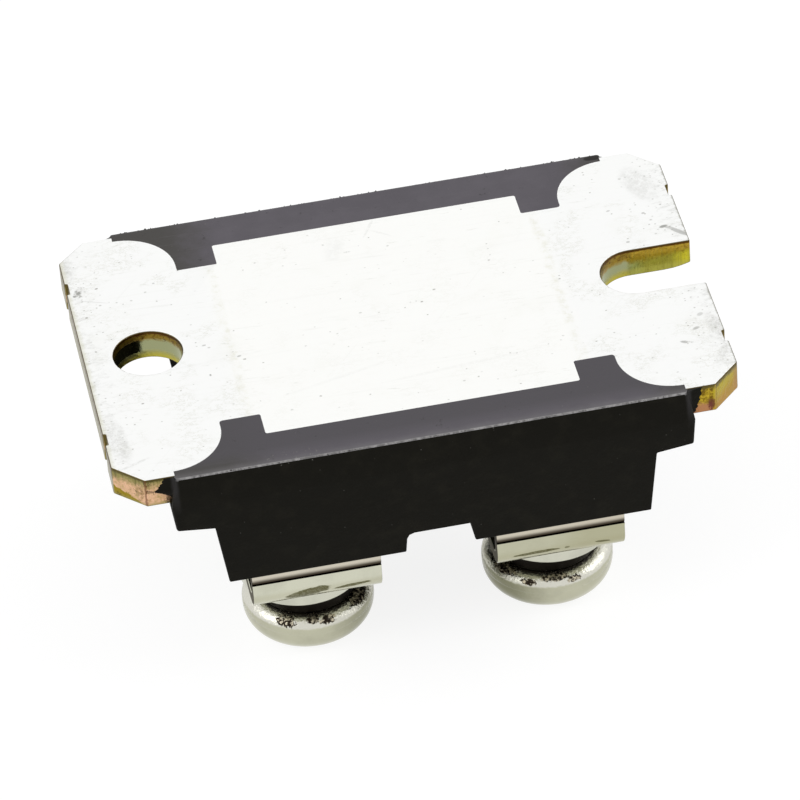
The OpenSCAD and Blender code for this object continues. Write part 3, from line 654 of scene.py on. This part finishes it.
def screwFinish(facts):  # the cold-formed shoulder is rivelled and brown in patches, with painted dark reflections on the patches; the top rounding gets a painted highlight and the sides that face the middle get painted shade
    finish, tint, rough = nickelFinish("platedScrew", "screw", 0.13, 0.12)
    x, z, step = finish.x, finish.z, finish.step
    fine = finish.field(None, 5.2, 3.0, 0.65, 9.0)
    # painted highlight: the top rounding of each head is made lighter, standing in for the bright reflection
    # of the lamps
    litShoulder = step(z + (fine - 0.5) * 0.20, 2.26, 2.42)
    # painted shade: each head is darker on the side that faces the middle, standing in for the reflection of
    # the shaded floor under the module; stronger on the right
    inward = step(7.4 - abs(x) + (fine - 0.5) * 0.8, 0.0, 3.2)
    inward = inward * (step(x, -1.0, 1.0) * 0.32 + 0.53)
    share = rivelReflections(finish, facts, fine)
    broken = step(finish.field(None, 6.5, 3.0, 0.7, 29.0), 0.42, 0.50)
    tint = finish.coats(
        tint,
        (litShoulder * 0.9, "shoulder"),
        (inward * (1 - litShoulder * 0.65), "inward"),
        # painted dark reflection on the rivelled patches
        (share * (broken * 0.80 + 0.19), "rivelReflection"),
        (share * (1 - broken) * 0.30, "rust"))
    normal = finish.relief(fine * finish.within(z, 1.95, 2.95, 0.12) + fine * 0.08, 0.05)
    return finish.dress(Base_Color=tint, Roughness=rough + share * 0.22, Normal=normal)


def springFinish():
    # near-black steel; the colour also stands in for the shade in the gap under the head
    finish = Finish("blackedSpring")
    worn = finish.step(finish.field(None, 1.6, 4.0, 0.65, 2.0), 0.55, 0.8)
    colour = finish.mix(worn * 0.5, (0.011, 0.009, 0.007), (0.045, 0.042, 0.036))
    grain = finish.field(None, 6.0, 3.0, 0.6, 4.0)
    return finish.dress(Base_Color=colour, Roughness=0.38 + grain * 0.2, Metallic=1.0,
                        Normal=finish.relief(grain, 0.01))


def innerFinish(name, first, second, metallic, roughness, scale):
    finish = Finish(name)
    cloud = finish.field(None, scale, 4.0, 0.6, 5.0)
    colour = finish.mix(finish.step(cloud, 0.35, 0.7), first, second)
    grain = finish.field(None, 4.0 * scale, 3.0, 0.6, 8.0)
    return finish.dress(Base_Color=colour, Roughness=roughness + cloud * 0.15, Metallic=metallic,
                        Normal=finish.relief(grain, 0.01))


finishes = {
    "base_plate": plateFinish(),
    "resin": resinFinish(),
    "terminal_nickel": stripFinish(),
    "flat_washer_nickel": nickelFinish("platedWasher", "washer", 0.16)[0].material,
    "screw_nickel": screwFinish(screwHead),
    "nut_steel": nickelFinish("platedNut", "nut", 0.28)[0].material,
    "spring_steel": springFinish(),
    "solder": innerFinish("dullSolder", (0.50, 0.50, 0.52), (0.36, 0.36, 0.38), 1.0, 0.42, 1.6),
    "copper": innerFinish("bareCopper", (0.80, 0.44, 0.28), (0.62, 0.32, 0.18), 1.0, 0.32, 0.8),
    "ceramic": innerFinish("whiteCeramic", (0.82, 0.82, 0.79), (0.74, 0.74, 0.71), 0.0, 0.5, 1.2),
    "silicon": innerFinish("chipSilicon", (0.10, 0.11, 0.14), (0.16, 0.17, 0.20), 0.6, 0.22, 0.6),
}
print("finishes mixed:", len(finishes))


# ---- pieces
def settle(obj, slotName, nodes):
    mesh = obj.data
    for vertex in mesh.vertices:  # kept inside the solids' own box
        vertex.co = [min(max(vertex.co[k], cadBox[0][k]), cadBox[1][k]) for k in range(3)]
    mesh.materials.clear()
    mesh.materials.append(finishes[slotName])
    mesh.polygons.foreach_set("material_index", [0] * len(mesh.polygons))
    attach(obj, "root")
    if nodes:
        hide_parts(*nodes)


def newObject(name, mesh):
    obj = bpy.data.objects.new(name, mesh)
    scene.collection.objects.link(obj)
    return obj


def fromWork(work, name):
    mesh = bpy.data.meshes.new(name)
    work.to_mesh(mesh)
    work.free()
    return newObject(name, mesh)


def solidCopy(node):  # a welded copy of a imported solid, its flat faces made whole again
    work = bmesh.new()
    work.from_mesh(frame["nodes"][node].data)
    bmesh.ops.remove_doubles(work, verts=work.verts, dist=0.0005 * mm)
    bmesh.ops.dissolve_limit(work, angle_limit=math.radians(0.4), verts=work.verts, edges=work.edges)
    return work


def bake(obj):  # what the live modifiers make, as a plain mesh
    graph = bpy.context.evaluated_depsgraph_get()
    graph.update()
    mesh = bpy.data.meshes.new_from_object(obj.evaluated_get(graph))
    obj.modifiers.clear()
    old = obj.data
    obj.data = mesh
    bpy.data.meshes.remove(old)
    mesh.name = obj.name


def smooth(obj, angle=35.0):  # flat faces stay flat, rounded edges shade round
    mesh = obj.data
    mesh.polygons.foreach_set("use_smooth", [True] * len(mesh.polygons))
    mesh.set_sharp_from_angle(angle=math.radians(angle))
    even = obj.modifiers.new("even", "WEIGHTED_NORMAL")
    even.keep_sharp = True
    bake(obj)


def softened(node, name, width, picks, segments=3, angle=28.0, reshape=None):
    work = solidCopy(node)
    if reshape:
        reshape(work)
    weights = work.edges.layers.float.new("bevel_weight_edge")
    for edge in work.edges:
        if len(edge.link_faces) != 2 or edge.calc_face_angle() < math.radians(angle):
            continue
        middle = (edge.verts[0].co + edge.verts[1].co) / (2 * mm)
        edge[weights] = picks(middle, edge)
    obj = fromWork(work, name)
    bevel = obj.modifiers.new("soften", "BEVEL")
    bevel.limit_method = "WEIGHT"
    bevel.width = width * mm
    bevel.segments = segments
    bevel.use_clamp_overlap = False
    bake(obj)
    smooth(obj)
    return obj


def roundOff(work, edges, width, segments):
    bmesh.ops.bevel(work, geom=edges, offset=width * mm, offset_type="OFFSET", segments=segments,
                    profile=0.5, affect="EDGES", clamp_overlap=False)


# the corners where resin and plate lie flush: x, y, radius
flushCorners = [(12.05, 7.6, 0.20), (9.55, 7.6, 0.12), (9.55, 9.5, 0.12)]


def roundLugs(work):  # the same small rounding in the plate's window and on the resin that fills it
    for cornerX, cornerY, radius in flushCorners:
        upright = [edge for edge in work.edges
                   if abs(edge.verts[0].co.z - edge.verts[1].co.z) > 0.5 * mm
                   and all(abs(abs(v.co.x / mm) - cornerX) < 0.02 and abs(abs(v.co.y / mm) - cornerY) < 0.02
                           for v in edge.verts)]
        roundOff(work, upright, radius, 3)


basePlate = {"rollOver": 0.10, "lobeStart": 15.45, "holeInset": 3.9, "slotStart": 12.9, "wellRadius": 2.35,
             "mouthLift": 0.30, "mouthStart": 17.3, "mouthReach": 1.7, "mouthSide": 3.3, "mouthFade": 1.15,
             "crossCuts": (17.3, 17.9, 18.4), "longCuts": (3.3, -3.3, 2.7, -2.7)}


def plateEdge(middle, edge):
    atHole = math.hypot(middle.x + plateEnd - basePlate["holeInset"], middle.y) < basePlate["wellRadius"]
    atSlot = middle.x > basePlate["slotStart"] and abs(middle.y) < basePlate["wellRadius"]
    free = abs(middle.x) > basePlate["lobeStart"] + 0.02
    return 1.0 if free or atHole or atSlot else 0.0


def rollMouth(work, facts=basePlate):  # rounds the window, lifts the slot's open corners from below
    roundLugs(work)
    cuts = [((x, 0, 0), (1, 0, 0)) for x in facts["crossCuts"]]
    cuts += [((0, y, 0), (0, 1, 0)) for y in facts["longCuts"]]
    for where, normal in cuts:
        parts = work.verts[:] + work.edges[:] + work.faces[:]
        bmesh.ops.bisect_plane(work, geom=parts, plane_co=Vector(where) * mm, plane_no=normal)
    for vertex in work.verts:
        x, y, z = vertex.co / mm
        if z > faceHeight - plateThickness + 0.01:
            continue
        along = min(max((x - facts["mouthStart"]) / facts["mouthReach"], 0.0), 1.0)
        across = min(max((facts["mouthSide"] - abs(y)) / facts["mouthFade"], 0.0), 1.0)
        vertex.co.z += facts["mouthLift"] * along * along * across * mm


plateSolid = softened("base_plate", "base_plate_bright", basePlate["rollOver"], plateEdge, reshape=rollMouth)
settle(plateSolid, "base_plate", ["base_plate"])
print("base plate done")

# each right-hand wall: its upper and lower x and z, and how far it moves out at the two
mouldedBody = {"edge": 0.24, "fine": 0.45, "underside": 0.315, "height": 9.0, "flangeStart": 15.2,
               "sideStart": 12.2, "ledgeEnd": 12.3, "innerLength": 11.7, "innerWidth": 11.75, "fill": 0.42,
               "grooveCorner": (-1.87, 9.85),
               "walls": [((15.85, 15.35), (15.70, 13.45), 0.0, 0.06),
                         ((13.40, 13.15), (12.80, 8.35), 0.07, 0.29),
                         ((-1.95, 9.85), (-2.25, 8.35), 0.08, 0.26)]}


def steepen(work, facts=mouldedBody):  # rounds the lugs, steepens the walls, fills the groove's corner
    roundLugs(work)
    for vertex in work.verts:
        x, y, z = vertex.co / mm
        for (upX, upZ), (downX, downZ), upper, lower in facts["walls"]:
            share = (upZ - z) / (upZ - downZ)
            if -0.01 < share < 1.01 and abs(upX + (downX - upX) * share - x) < 0.03:
                vertex.co.x += (upper + (lower - upper) * share) * mm
                break
    cornerX, cornerZ = facts["grooveCorner"]
    corner = [edge for edge in work.edges
              if all(abs(v.co.x / mm - cornerX) < 0.03 and abs(v.co.z / mm - cornerZ) < 0.03
                     for v in edge.verts)]
    roundOff(work, corner, facts["fill"], 2)


def bodyEdge(middle, edge, facts=mouldedBody):
    if middle.z > faceHeight - 0.02:
        return facts["fine"] if abs(middle.y) > facts["sideStart"] else 0.0
    if middle.z < faceHeight - facts["height"] + 0.05:
        return facts["underside"]
    upright = abs(edge.verts[0].co.z - edge.verts[1].co.z) > 1.0 * mm
    if upright and abs(middle.x) > facts["flangeStart"] and abs(middle.y) > facts["sideStart"]:
        return 1.0
    buried = abs(middle.x) < facts["innerLength"] and abs(middle.y) < facts["innerWidth"]
    ledge = middle.z > faceHeight - plateThickness - 0.02 and abs(middle.y) < facts["ledgeEnd"]
    return 0.0 if buried or ledge else facts["fine"]


bodySolid = softened("moulded_body", "moulded_body_grained", mouldedBody["edge"], bodyEdge, reshape=steepen)
settle(bodySolid, "resin", ["moulded_body"])
print("moulded body done")

# resin that crept out beside the plate's lobes: x and y side, lowest and highest z, reach up the height, seed
flash = {"start": 15.32, "wall": 12.0, "skin": 12.30, "root": 11.88, "rows": 22, "columns": 9, "jitter": 0.05,
         "corners": [(-1, -1, 15.50, 17.29, (0.16, 0.22, 0.42, 0.90, 1.42, 1.05, 0.92, 0.76, 0.70), 4),
                     (1, -1, 15.37, 17.30, (0.42, 0.56, 0.70, 0.80, 0.88, 0.94, 0.98), 7),
                     (1, 1, 15.45, 17.26, (0.10, 0.20, 0.45, 0.40, 0.60, 0.50, 0.35), 11),
                     (-1, 1, 15.50, 17.28, (0.15, 0.25, 0.20, 0.35, 0.30, 0.45, 0.40), 15)]}


def makeFlash(number, facts):
    sideX, sideY, low, high, reaches, seed = facts["corners"][number]
    chance = random.Random(seed)
    work = bmesh.new()
    rows = []
    for k in range(facts["rows"]):
        v = k / (facts["rows"] - 1)
        spot = v * (len(reaches) - 1)
        first = min(int(spot), len(reaches) - 2)
        reach = reaches[first] + (reaches[first + 1] - reaches[first]) * (spot - first)
        reach = max(0.05, reach + chance.uniform(-facts["jitter"], facts["jitter"]))
        row = []
        for j in range(facts["columns"]):  # the outer skin thins away from the body
            u = j / (facts["columns"] - 1)
            swell = (1 - u) ** 1.7 * (facts["skin"] - facts["wall"]) + 0.035 * (1 - u ** 6)
            uneven = chance.uniform(-0.008, 0.008)
            row.append((facts["start"] + (reach + 0.13) * u, facts["wall"] + swell + uneven))
        row.append((facts["start"] + reach + 0.10, facts["root"]))
        row.append((facts["start"], facts["root"]))
        z = low + (high - low) * v
        rows.append([work.verts.new(Vector((sideX * x, sideY * y, z)) * mm) for x, y in row])
    count = len(rows[0])
    for lower, upper in zip(rows, rows[1:]):
        for j in range(count):
            work.faces.new([lower[j], lower[(j + 1) % count], upper[(j + 1) % count], upper[j]])
    work.faces.new(rows[0])
    work.faces.new(rows[-1])
    bmesh.ops.recalc_face_normals(work, faces=work.faces)
    obj = fromWork(work, f"resin_flash_{number + 1}")
    smooth(obj, 40.0)
    settle(obj, "resin", [])


for number in range(len(flash["corners"])):
    makeFlash(number, flash)
print("resin flash done")


def stripEdge(middle, edge):
    return 0.0 if abs(middle.z - score["height"]) < 0.2 and abs(middle.y) > score["face"] - 0.35 else 1.0


def stepScore(work):  # the score's lower half closes up, which leaves a sharp step
    for vertex in work.verts:
        x, y, z = vertex.co / mm
        if abs(y) > score["face"] - score["radius"] - 0.01 and -0.16 < z - score["height"] < -0.004:
            vertex.co.y = math.copysign(score["face"], y) * mm


for number in terminalSpots:
    node = f"terminal_{number}"
    obj = softened(node, f"{node}_rolled", 0.07, stripEdge, 2, 24.0, stepScore)
    settle(obj, "terminal_nickel", [node])
    node = f"nut_{number}"
    obj = softened(node, f"{node}_turned", 0.08, lambda middle, edge: 1.0, 2, 24.0)
    settle(obj, "nut_steel", [node])
print("terminals and nuts done")


# ---- geometry rules
class Rule(Recipe):
    kinds = {float: "NodeSocketFloat", int: "NodeSocketInt"}

    def __init__(self, name, sizes):
        super().__init__(bpy.data.node_groups.new(name, "GeometryNodeTree"))
        self.tree.interface.new_socket("Geometry", in_out="INPUT", socket_type="NodeSocketGeometry")
        self.tree.interface.new_socket("Geometry", in_out="OUTPUT", socket_type="NodeSocketGeometry")
        for key, value in sizes.items():
            self.tree.interface.new_socket(key, in_out="INPUT", socket_type=self.kinds[type(value)])
        source = self.tree.nodes.new("NodeGroupInput")
        self.sizes = {key: Link(self.tree, source.outputs[key]) for key in sizes}
        self.given = Link(self.tree, source.outputs["Geometry"])

    def whole(self, row, count):  # the number of the point, from its share of the grid
        return (row * (count - 1.0)).work("ROUND")

    def close(self, result, material):
        whole = self.add("GeometryNodeRealizeInstances", None, {"Geometry": result})
        whole = self.add("GeometryNodeSetMaterial", None, {"Geometry": whole, "Material": material})
        self.tree.links.new(whole.socket, self.tree.nodes.new("NodeGroupOutput").inputs[0])
        return self.tree


def grow(name, tree, sizes, seedMesh=None):
    obj = newObject(name, seedMesh or bpy.data.meshes.new(name))
    modifier = obj.modifiers.new("rule", "NODES")
    modifier.node_group = tree
    for item in tree.interface.items_tree:
        if item.item_type == "SOCKET" and item.in_out == "INPUT" and item.name in sizes:
            modifier[item.identifier] = sizes[item.name]
    bake(obj)
    return obj


def gridFrame(rule, turns, rows):
    grid = rule.add("GeometryNodeMeshGrid", None,
                    {"Size X": 1.0, "Size Y": 1.0, "Vertices X": turns, "Vertices Y": rows})
    place = rule.add("ShaderNodeSeparateXYZ", None, {0: rule.add("GeometryNodeInputPosition")})
    return grid, place + 0.5, place.also("Y") + 0.5


def sampled(rule, index):  # a point of the profile that the rule is given
    kind = {"data_type": "FLOAT_VECTOR", "domain": "POINT", "clamp": True}
    points = rule.add("GeometryNodeInputPosition")
    profile = rule.add("GeometryNodeSampleIndex", kind,
                       {"Geometry": rule.given, "Value": points, "Index": index})
    return rule.add("ShaderNodeSeparateXYZ", None, {0: profile})


def turnedShape(rule, grid, share, radius, height):
    angle = share * (2 * math.pi)
    place = rule.vector(radius * angle.work("COSINE"), radius * angle.work("SINE"), height)
    moved = rule.add("GeometryNodeSetPosition", None, {"Geometry": grid, "Position": place})
    return rule.add("GeometryNodeMergeByDistance", None, {"Geometry": moved, "Distance": 0.0002 * mm})


latheSizes = {"Turns": 193, "Rows": 10, "Ripple": 0.0, "Ripple Scale": 1.0, "Ripple Seed": 0.0}


def latheRule(sizes, material):  # revolves the profile points that it is given, and ripples the metal
    rule = Rule("latheRule", sizes)
    size = rule.sizes
    grid, share, row = gridFrame(rule, size["Turns"], size["Rows"])
    point = sampled(rule, rule.whole(row, size["Rows"]))
    turned = turnedShape(rule, grid, share, point, point.also("Z"))
    wave = rule.add("ShaderNodeTexNoise", {"noise_dimensions": "4D"},
                    {"Vector": rule.add("GeometryNodeInputPosition"), "W": size["Ripple Seed"],
                     "Scale": size["Ripple Scale"], "Detail": 2.0})
    push = (wave - 0.5) * size["Ripple"]
    offset = rule.add("ShaderNodeVectorMath", {"operation": "SCALE"},
                      {0: rule.add("GeometryNodeInputNormal"), "Scale": push})
    rippled = rule.add("GeometryNodeSetPosition", None, {"Geometry": turned, "Offset": offset})
    return rule.close(rippled, material)


threadSizes = {"Major": 2.0 * mm, "Depth": 0.40 * mm, "Pitch": 0.7 * mm, "Length": 8.0 * mm, "Tip": 1.5 * mm,
               "Turns": 65, "Rows": 170}


def threadRule(sizes, material):  # a closed shank whose radius follows the helix
    rule = Rule("threadRule", sizes)
    size = rule.sizes
    grid, share, row = gridFrame(rule, size["Turns"], size["Rows"])
    last = size["Rows"] - 1.0
    height = rule.clamped((row * last - 1.0) / (last - 2.0)) * size["Length"]
    phase = (height / size["Pitch"] - share).work("FRACT")
    ridge = rule.clamped(abs(phase - 0.5) * 2.6 - 0.25)
    radius = size["Major"] - size["Depth"] + size["Depth"] * ridge
    radius = rule.least(radius, size["Tip"] + height)
    shut = rule.least(rule.least(row * last, (1 - row) * last), 1.0)
    return rule.close(turnedShape(rule, grid, share, radius * shut, height), material)


def profileMesh(name, points):
    mesh = bpy.data.meshes.new(name)
    edges = [(i, i + 1) for i in range(len(points) - 1)]
    mesh.from_pydata([(x * mm, 0.0, z * mm) for x, z in points], edges, [])
    return mesh


def arc(centreX, centreZ, radius, start, end, steps):
    angles = [math.radians(start + (end - start) * k / steps) for k in range(steps + 1)]
    return [(centreX + radius * math.cos(angle), centreZ + radius * math.sin(angle)) for angle in angles]


def place(obj, x, y, z=0.0, turn=0.0, upsideDown=False):
    moves = Matrix.Translation(Vector((x, y, z)) * mm) @ Matrix.Rotation(math.radians(turn), 4, "Z")
    if upsideDown:
        moves = moves @ Matrix.Rotation(math.pi, 4, "X")
    obj.data.transform(moves)


def outward(obj):
    work = bmesh.new()
    work.from_mesh(obj.data)
    bmesh.ops.recalc_face_normals(work, faces=work.faces)
    work.to_mesh(obj.data)
    work.free()


def headProfile(facts):  # from the middle of the dome, round the side, to the middle of the bearing face
    radius, height, shoulder = facts["radius"], facts["height"], facts["height"] - facts["dome"]
    upper, lower = facts["outerEdge"], facts["bearingEdge"]
    flat, rim = radius - upper, radius - lower
    points = [(flat * k / 10, height - facts["dome"] * (k / 10) ** 2) for k in range(10)]
    points += arc(flat, shoulder - upper, upper, 90, 0, 26)
    points += [(radius, lower + (shoulder - upper - lower) * k / 4) for k in (3, 2, 1)]
    points += arc(rim, lower, lower, 0, -90, 18)
    return points + [(rim * k / 8, 0.0) for k in range(7, -1, -1)]


def recessCutter(facts):
    work = bmesh.new()
    levels = []  # height, reach and half width of the recess, at its floor and above the head
    for rise, half in ((-facts["recessDepth"], 0.42), (facts["recessAbove"], 0.52)):
        reach = facts["recessReach"] + facts["recessSlope"] * rise
        levels.append((facts["height"] + rise, reach, facts["wing"] * half))
    for quarter in (0, 1):
        corners = []
        for z, reach, half in levels:
            for sx, sy in ((-1, -1), (1, -1), (1, 1), (-1, 1)):
                spot = Vector((sx * reach, sy * half, z)) * mm
                corners.append(work.verts.new(Matrix.Rotation(math.pi / 2 * quarter, 3, "Z") @ spot))
        work.faces.new([corners[k] for k in (3, 2, 1, 0)])
        work.faces.new([corners[k] for k in (4, 5, 6, 7)])
        for k in range(4):
            work.faces.new([corners[k], corners[(k + 1) % 4], corners[(k + 1) % 4 + 4], corners[k + 4]])
    bmesh.ops.recalc_face_normals(work, faces=work.faces)
    return fromWork(work, "recessCutter")


latheTree = latheRule(latheSizes, finishes["screw_nickel"])
threadTree = threadRule(threadSizes, finishes["screw_nickel"])


def makeScrew(number, facts):
    profile = headProfile(facts)
    sizes = {**latheSizes, "Rows": len(profile), "Ripple": facts["ripple"] * mm,
             "Ripple Scale": facts["rippleScale"], "Ripple Seed": 3.0 * number}
    head = grow(f"screw_{number}_threaded", latheTree, sizes, profileMesh("profile", profile))
    outward(head)
    cutter = recessCutter(facts)
    cut = head.modifiers.new("recess", "BOOLEAN")
    cut.operation, cut.solver, cut.object = "DIFFERENCE", "EXACT", cutter
    cut.use_self = True
    bake(head)
    bpy.data.objects.remove(cutter)
    shank = grow("shank", threadTree, {**threadSizes, "Length": facts["shankLength"] * mm})
    outward(shank)
    place(shank, 0, 0, -facts["shank"])
    work = bmesh.new()
    work.from_mesh(head.data)
    work.from_mesh(shank.data)
    work.to_mesh(head.data)
    work.free()
    bpy.data.objects.remove(shank)
    x, y = terminalSpots[number]
    place(head, x, y, facts["height"], -facts["turns"][number], True)
    smooth(head, 40.0)
    settle(head, "screw_nickel", [f"screw_{number}"])


for number in terminalSpots:
    makeScrew(number, screwHead)
print("screws done")

flatWasher = {"radius": 3.85, "bore": 2.3, "thickness": 1.25, "edge": 0.12, "slip": 0.25, "seat": 4.1,
              "ripple": 0.006, "rippleScale": 500.0, "seed": 50.0}


def washerProfile(facts):
    outer, inner, tall, edge = facts["radius"], facts["bore"], facts["thickness"], facts["edge"]
    points = arc(inner + edge, edge, edge, 270, 180, 4) + arc(inner + edge, tall - edge, edge, 180, 90, 4)
    points += arc(outer - edge, tall - edge, edge, 90, 0, 4) + arc(outer - edge, edge, edge, 0, -90, 4)
    return points + points[:1]


def splitRule(sizes, material):  # a squared wire round most of a turn, its two ends cut at a slant
    rule = Rule("splitRule", sizes)
    size, turns, rows = rule.sizes, rule.sizes["Turns"], rule.sizes["Rows"]
    grid, share, row = gridFrame(rule, turns, rows)
    column = rule.whole(share, turns)
    inner = rule.clamped((column - 1.0) / (turns - 3.0))
    body = rule.least(rule.least(column, turns - 1.0 - column), 1.0)  # 0 at the middle of each cut end
    point = sampled(rule, rule.whole(row, rows))
    radius = size["Centre Radius"] + (point - size["Centre Radius"]) * body
    height = size["Centre Height"] + (point.also("Z") - size["Centre Height"]) * body
    gap = size["Split"] / radius
    lean = size["Slant"] * (height - size["Centre Height"]) / radius
    angle = gap * 0.5 + lean + (2 * math.pi - gap) * inner
    return rule.close(turnedShape(rule, grid, angle / (2 * math.pi), radius, height), material)


springWasher = {"radius": 3.15, "bore": 2.15, "thickness": 1.2, "edge": 0.12, "split": 0.5, "slant": 0.36,
                "seat": 4.1, "turns": {1: 250, 2: 330, 3: 410, 4: 490}}
splitSizes = {"Turns": 121, "Rows": 21, "Split": 0.5 * mm, "Slant": 0.3, "Centre Radius": 2.65 * mm,
              "Centre Height": 0.6 * mm}
splitTree = splitRule(splitSizes, finishes["spring_steel"])


def makeSplitWasher(number, facts):
    points = washerProfile(facts)
    sizes = {**splitSizes, "Rows": len(points), "Split": facts["split"] * mm, "Slant": facts["slant"],
             "Centre Radius": (facts["radius"] + facts["bore"]) / 2 * mm,
             "Centre Height": facts["thickness"] / 2 * mm}
    ring = grow(f"spring_washer_{number}_split", splitTree, sizes, profileMesh("wireProfile", points))
    outward(ring)
    place(ring, *terminalSpots[number], facts["seat"], -facts["turns"][number], True)
    smooth(ring, 50.0)
    settle(ring, "spring_steel", [f"spring_washer_{number}"])


def makeFlatWasher(number, facts):
    x, y = terminalSpots[number]
    points = washerProfile(facts)
    sizes = {**latheSizes, "Rows": len(points), "Ripple": facts["ripple"] * mm,
             "Ripple Scale": facts["rippleScale"], "Ripple Seed": facts["seed"] + number}
    ring = grow(f"flat_washer_{number}_punched", latheTree, sizes, profileMesh("washerProfile", points))
    outward(ring)
    place(ring, x + math.copysign(facts["slip"], x), y, facts["seat"])
    smooth(ring, 50.0)
    settle(ring, "flat_washer_nickel", [f"flat_washer_{number}"])


for number in terminalSpots:
    makeFlatWasher(number, flatWasher)
    makeSplitWasher(number, springWasher)
print("washers done")

# crumbs of resin that stay along the body's two long edges
crumbs = {"height": 17.312, "edges": {"front": (-12.322, 5), "back": (12.322, 9)}}
crumbSizes = {"Count": 54, "Length": 30.4 * mm, "Size": 0.055 * mm, "Spread": 0.03 * mm, "Seed": 5}


def crumbRule(sizes, material):
    rule = Rule("crumbRule", sizes)
    line = rule.add("GeometryNodeMeshLine", None, {"Count": rule.sizes["Count"]})

    def chance(number):
        return rule.add("FunctionNodeRandomValue", {"data_type": "FLOAT"},
                        {2: 0.0, 3: 1.0, "Seed": rule.sizes["Seed"] * 10 + number}, 1)

    length, spread = rule.sizes["Length"], rule.sizes["Spread"]
    spot = rule.vector((chance(1) - 0.5) * length, (chance(2) - 0.5) * spread, (chance(3) - 0.5) * spread)
    points = rule.add("GeometryNodeSetPosition", None, {"Geometry": line, "Position": spot})
    grain = rule.add("GeometryNodeMeshIcoSphere", None, {"Radius": 1.0, "Subdivisions": 1})
    size = (chance(4) ** 2.0 + 0.35) * rule.sizes["Size"]
    scale = rule.vector(size * (chance(5) + 0.7), size, size * (chance(6) * 0.6 + 0.5))
    turn = rule.vector(chance(7) * 6.28, chance(8) * 6.28, chance(9) * 6.28)
    strewn = rule.add("GeometryNodeInstanceOnPoints", None,
                      {"Points": points, "Instance": grain, "Rotation": turn, "Scale": scale})
    return rule.close(strewn, material)


crumbTree = crumbRule(crumbSizes, finishes["resin"])
for edgeName, (y, seed) in crumbs["edges"].items():
    strewn = grow(f"resin_crumbs_{edgeName}", crumbTree, {**crumbSizes, "Seed": seed})
    place(strewn, 0, y, crumbs["height"])
    settle(strewn, "resin", [])
print("crumbs done")

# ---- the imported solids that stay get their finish
slotOf = {part["node"]: part["material_slot"] for part in frame["record"]["subparts"]}
for node, obj in frame["nodes"].items():
    if obj.hide_render:
        continue
    obj.data.materials.clear()
    obj.data.materials.append(finishes[slotOf[node]])
print("inner pieces dressed")
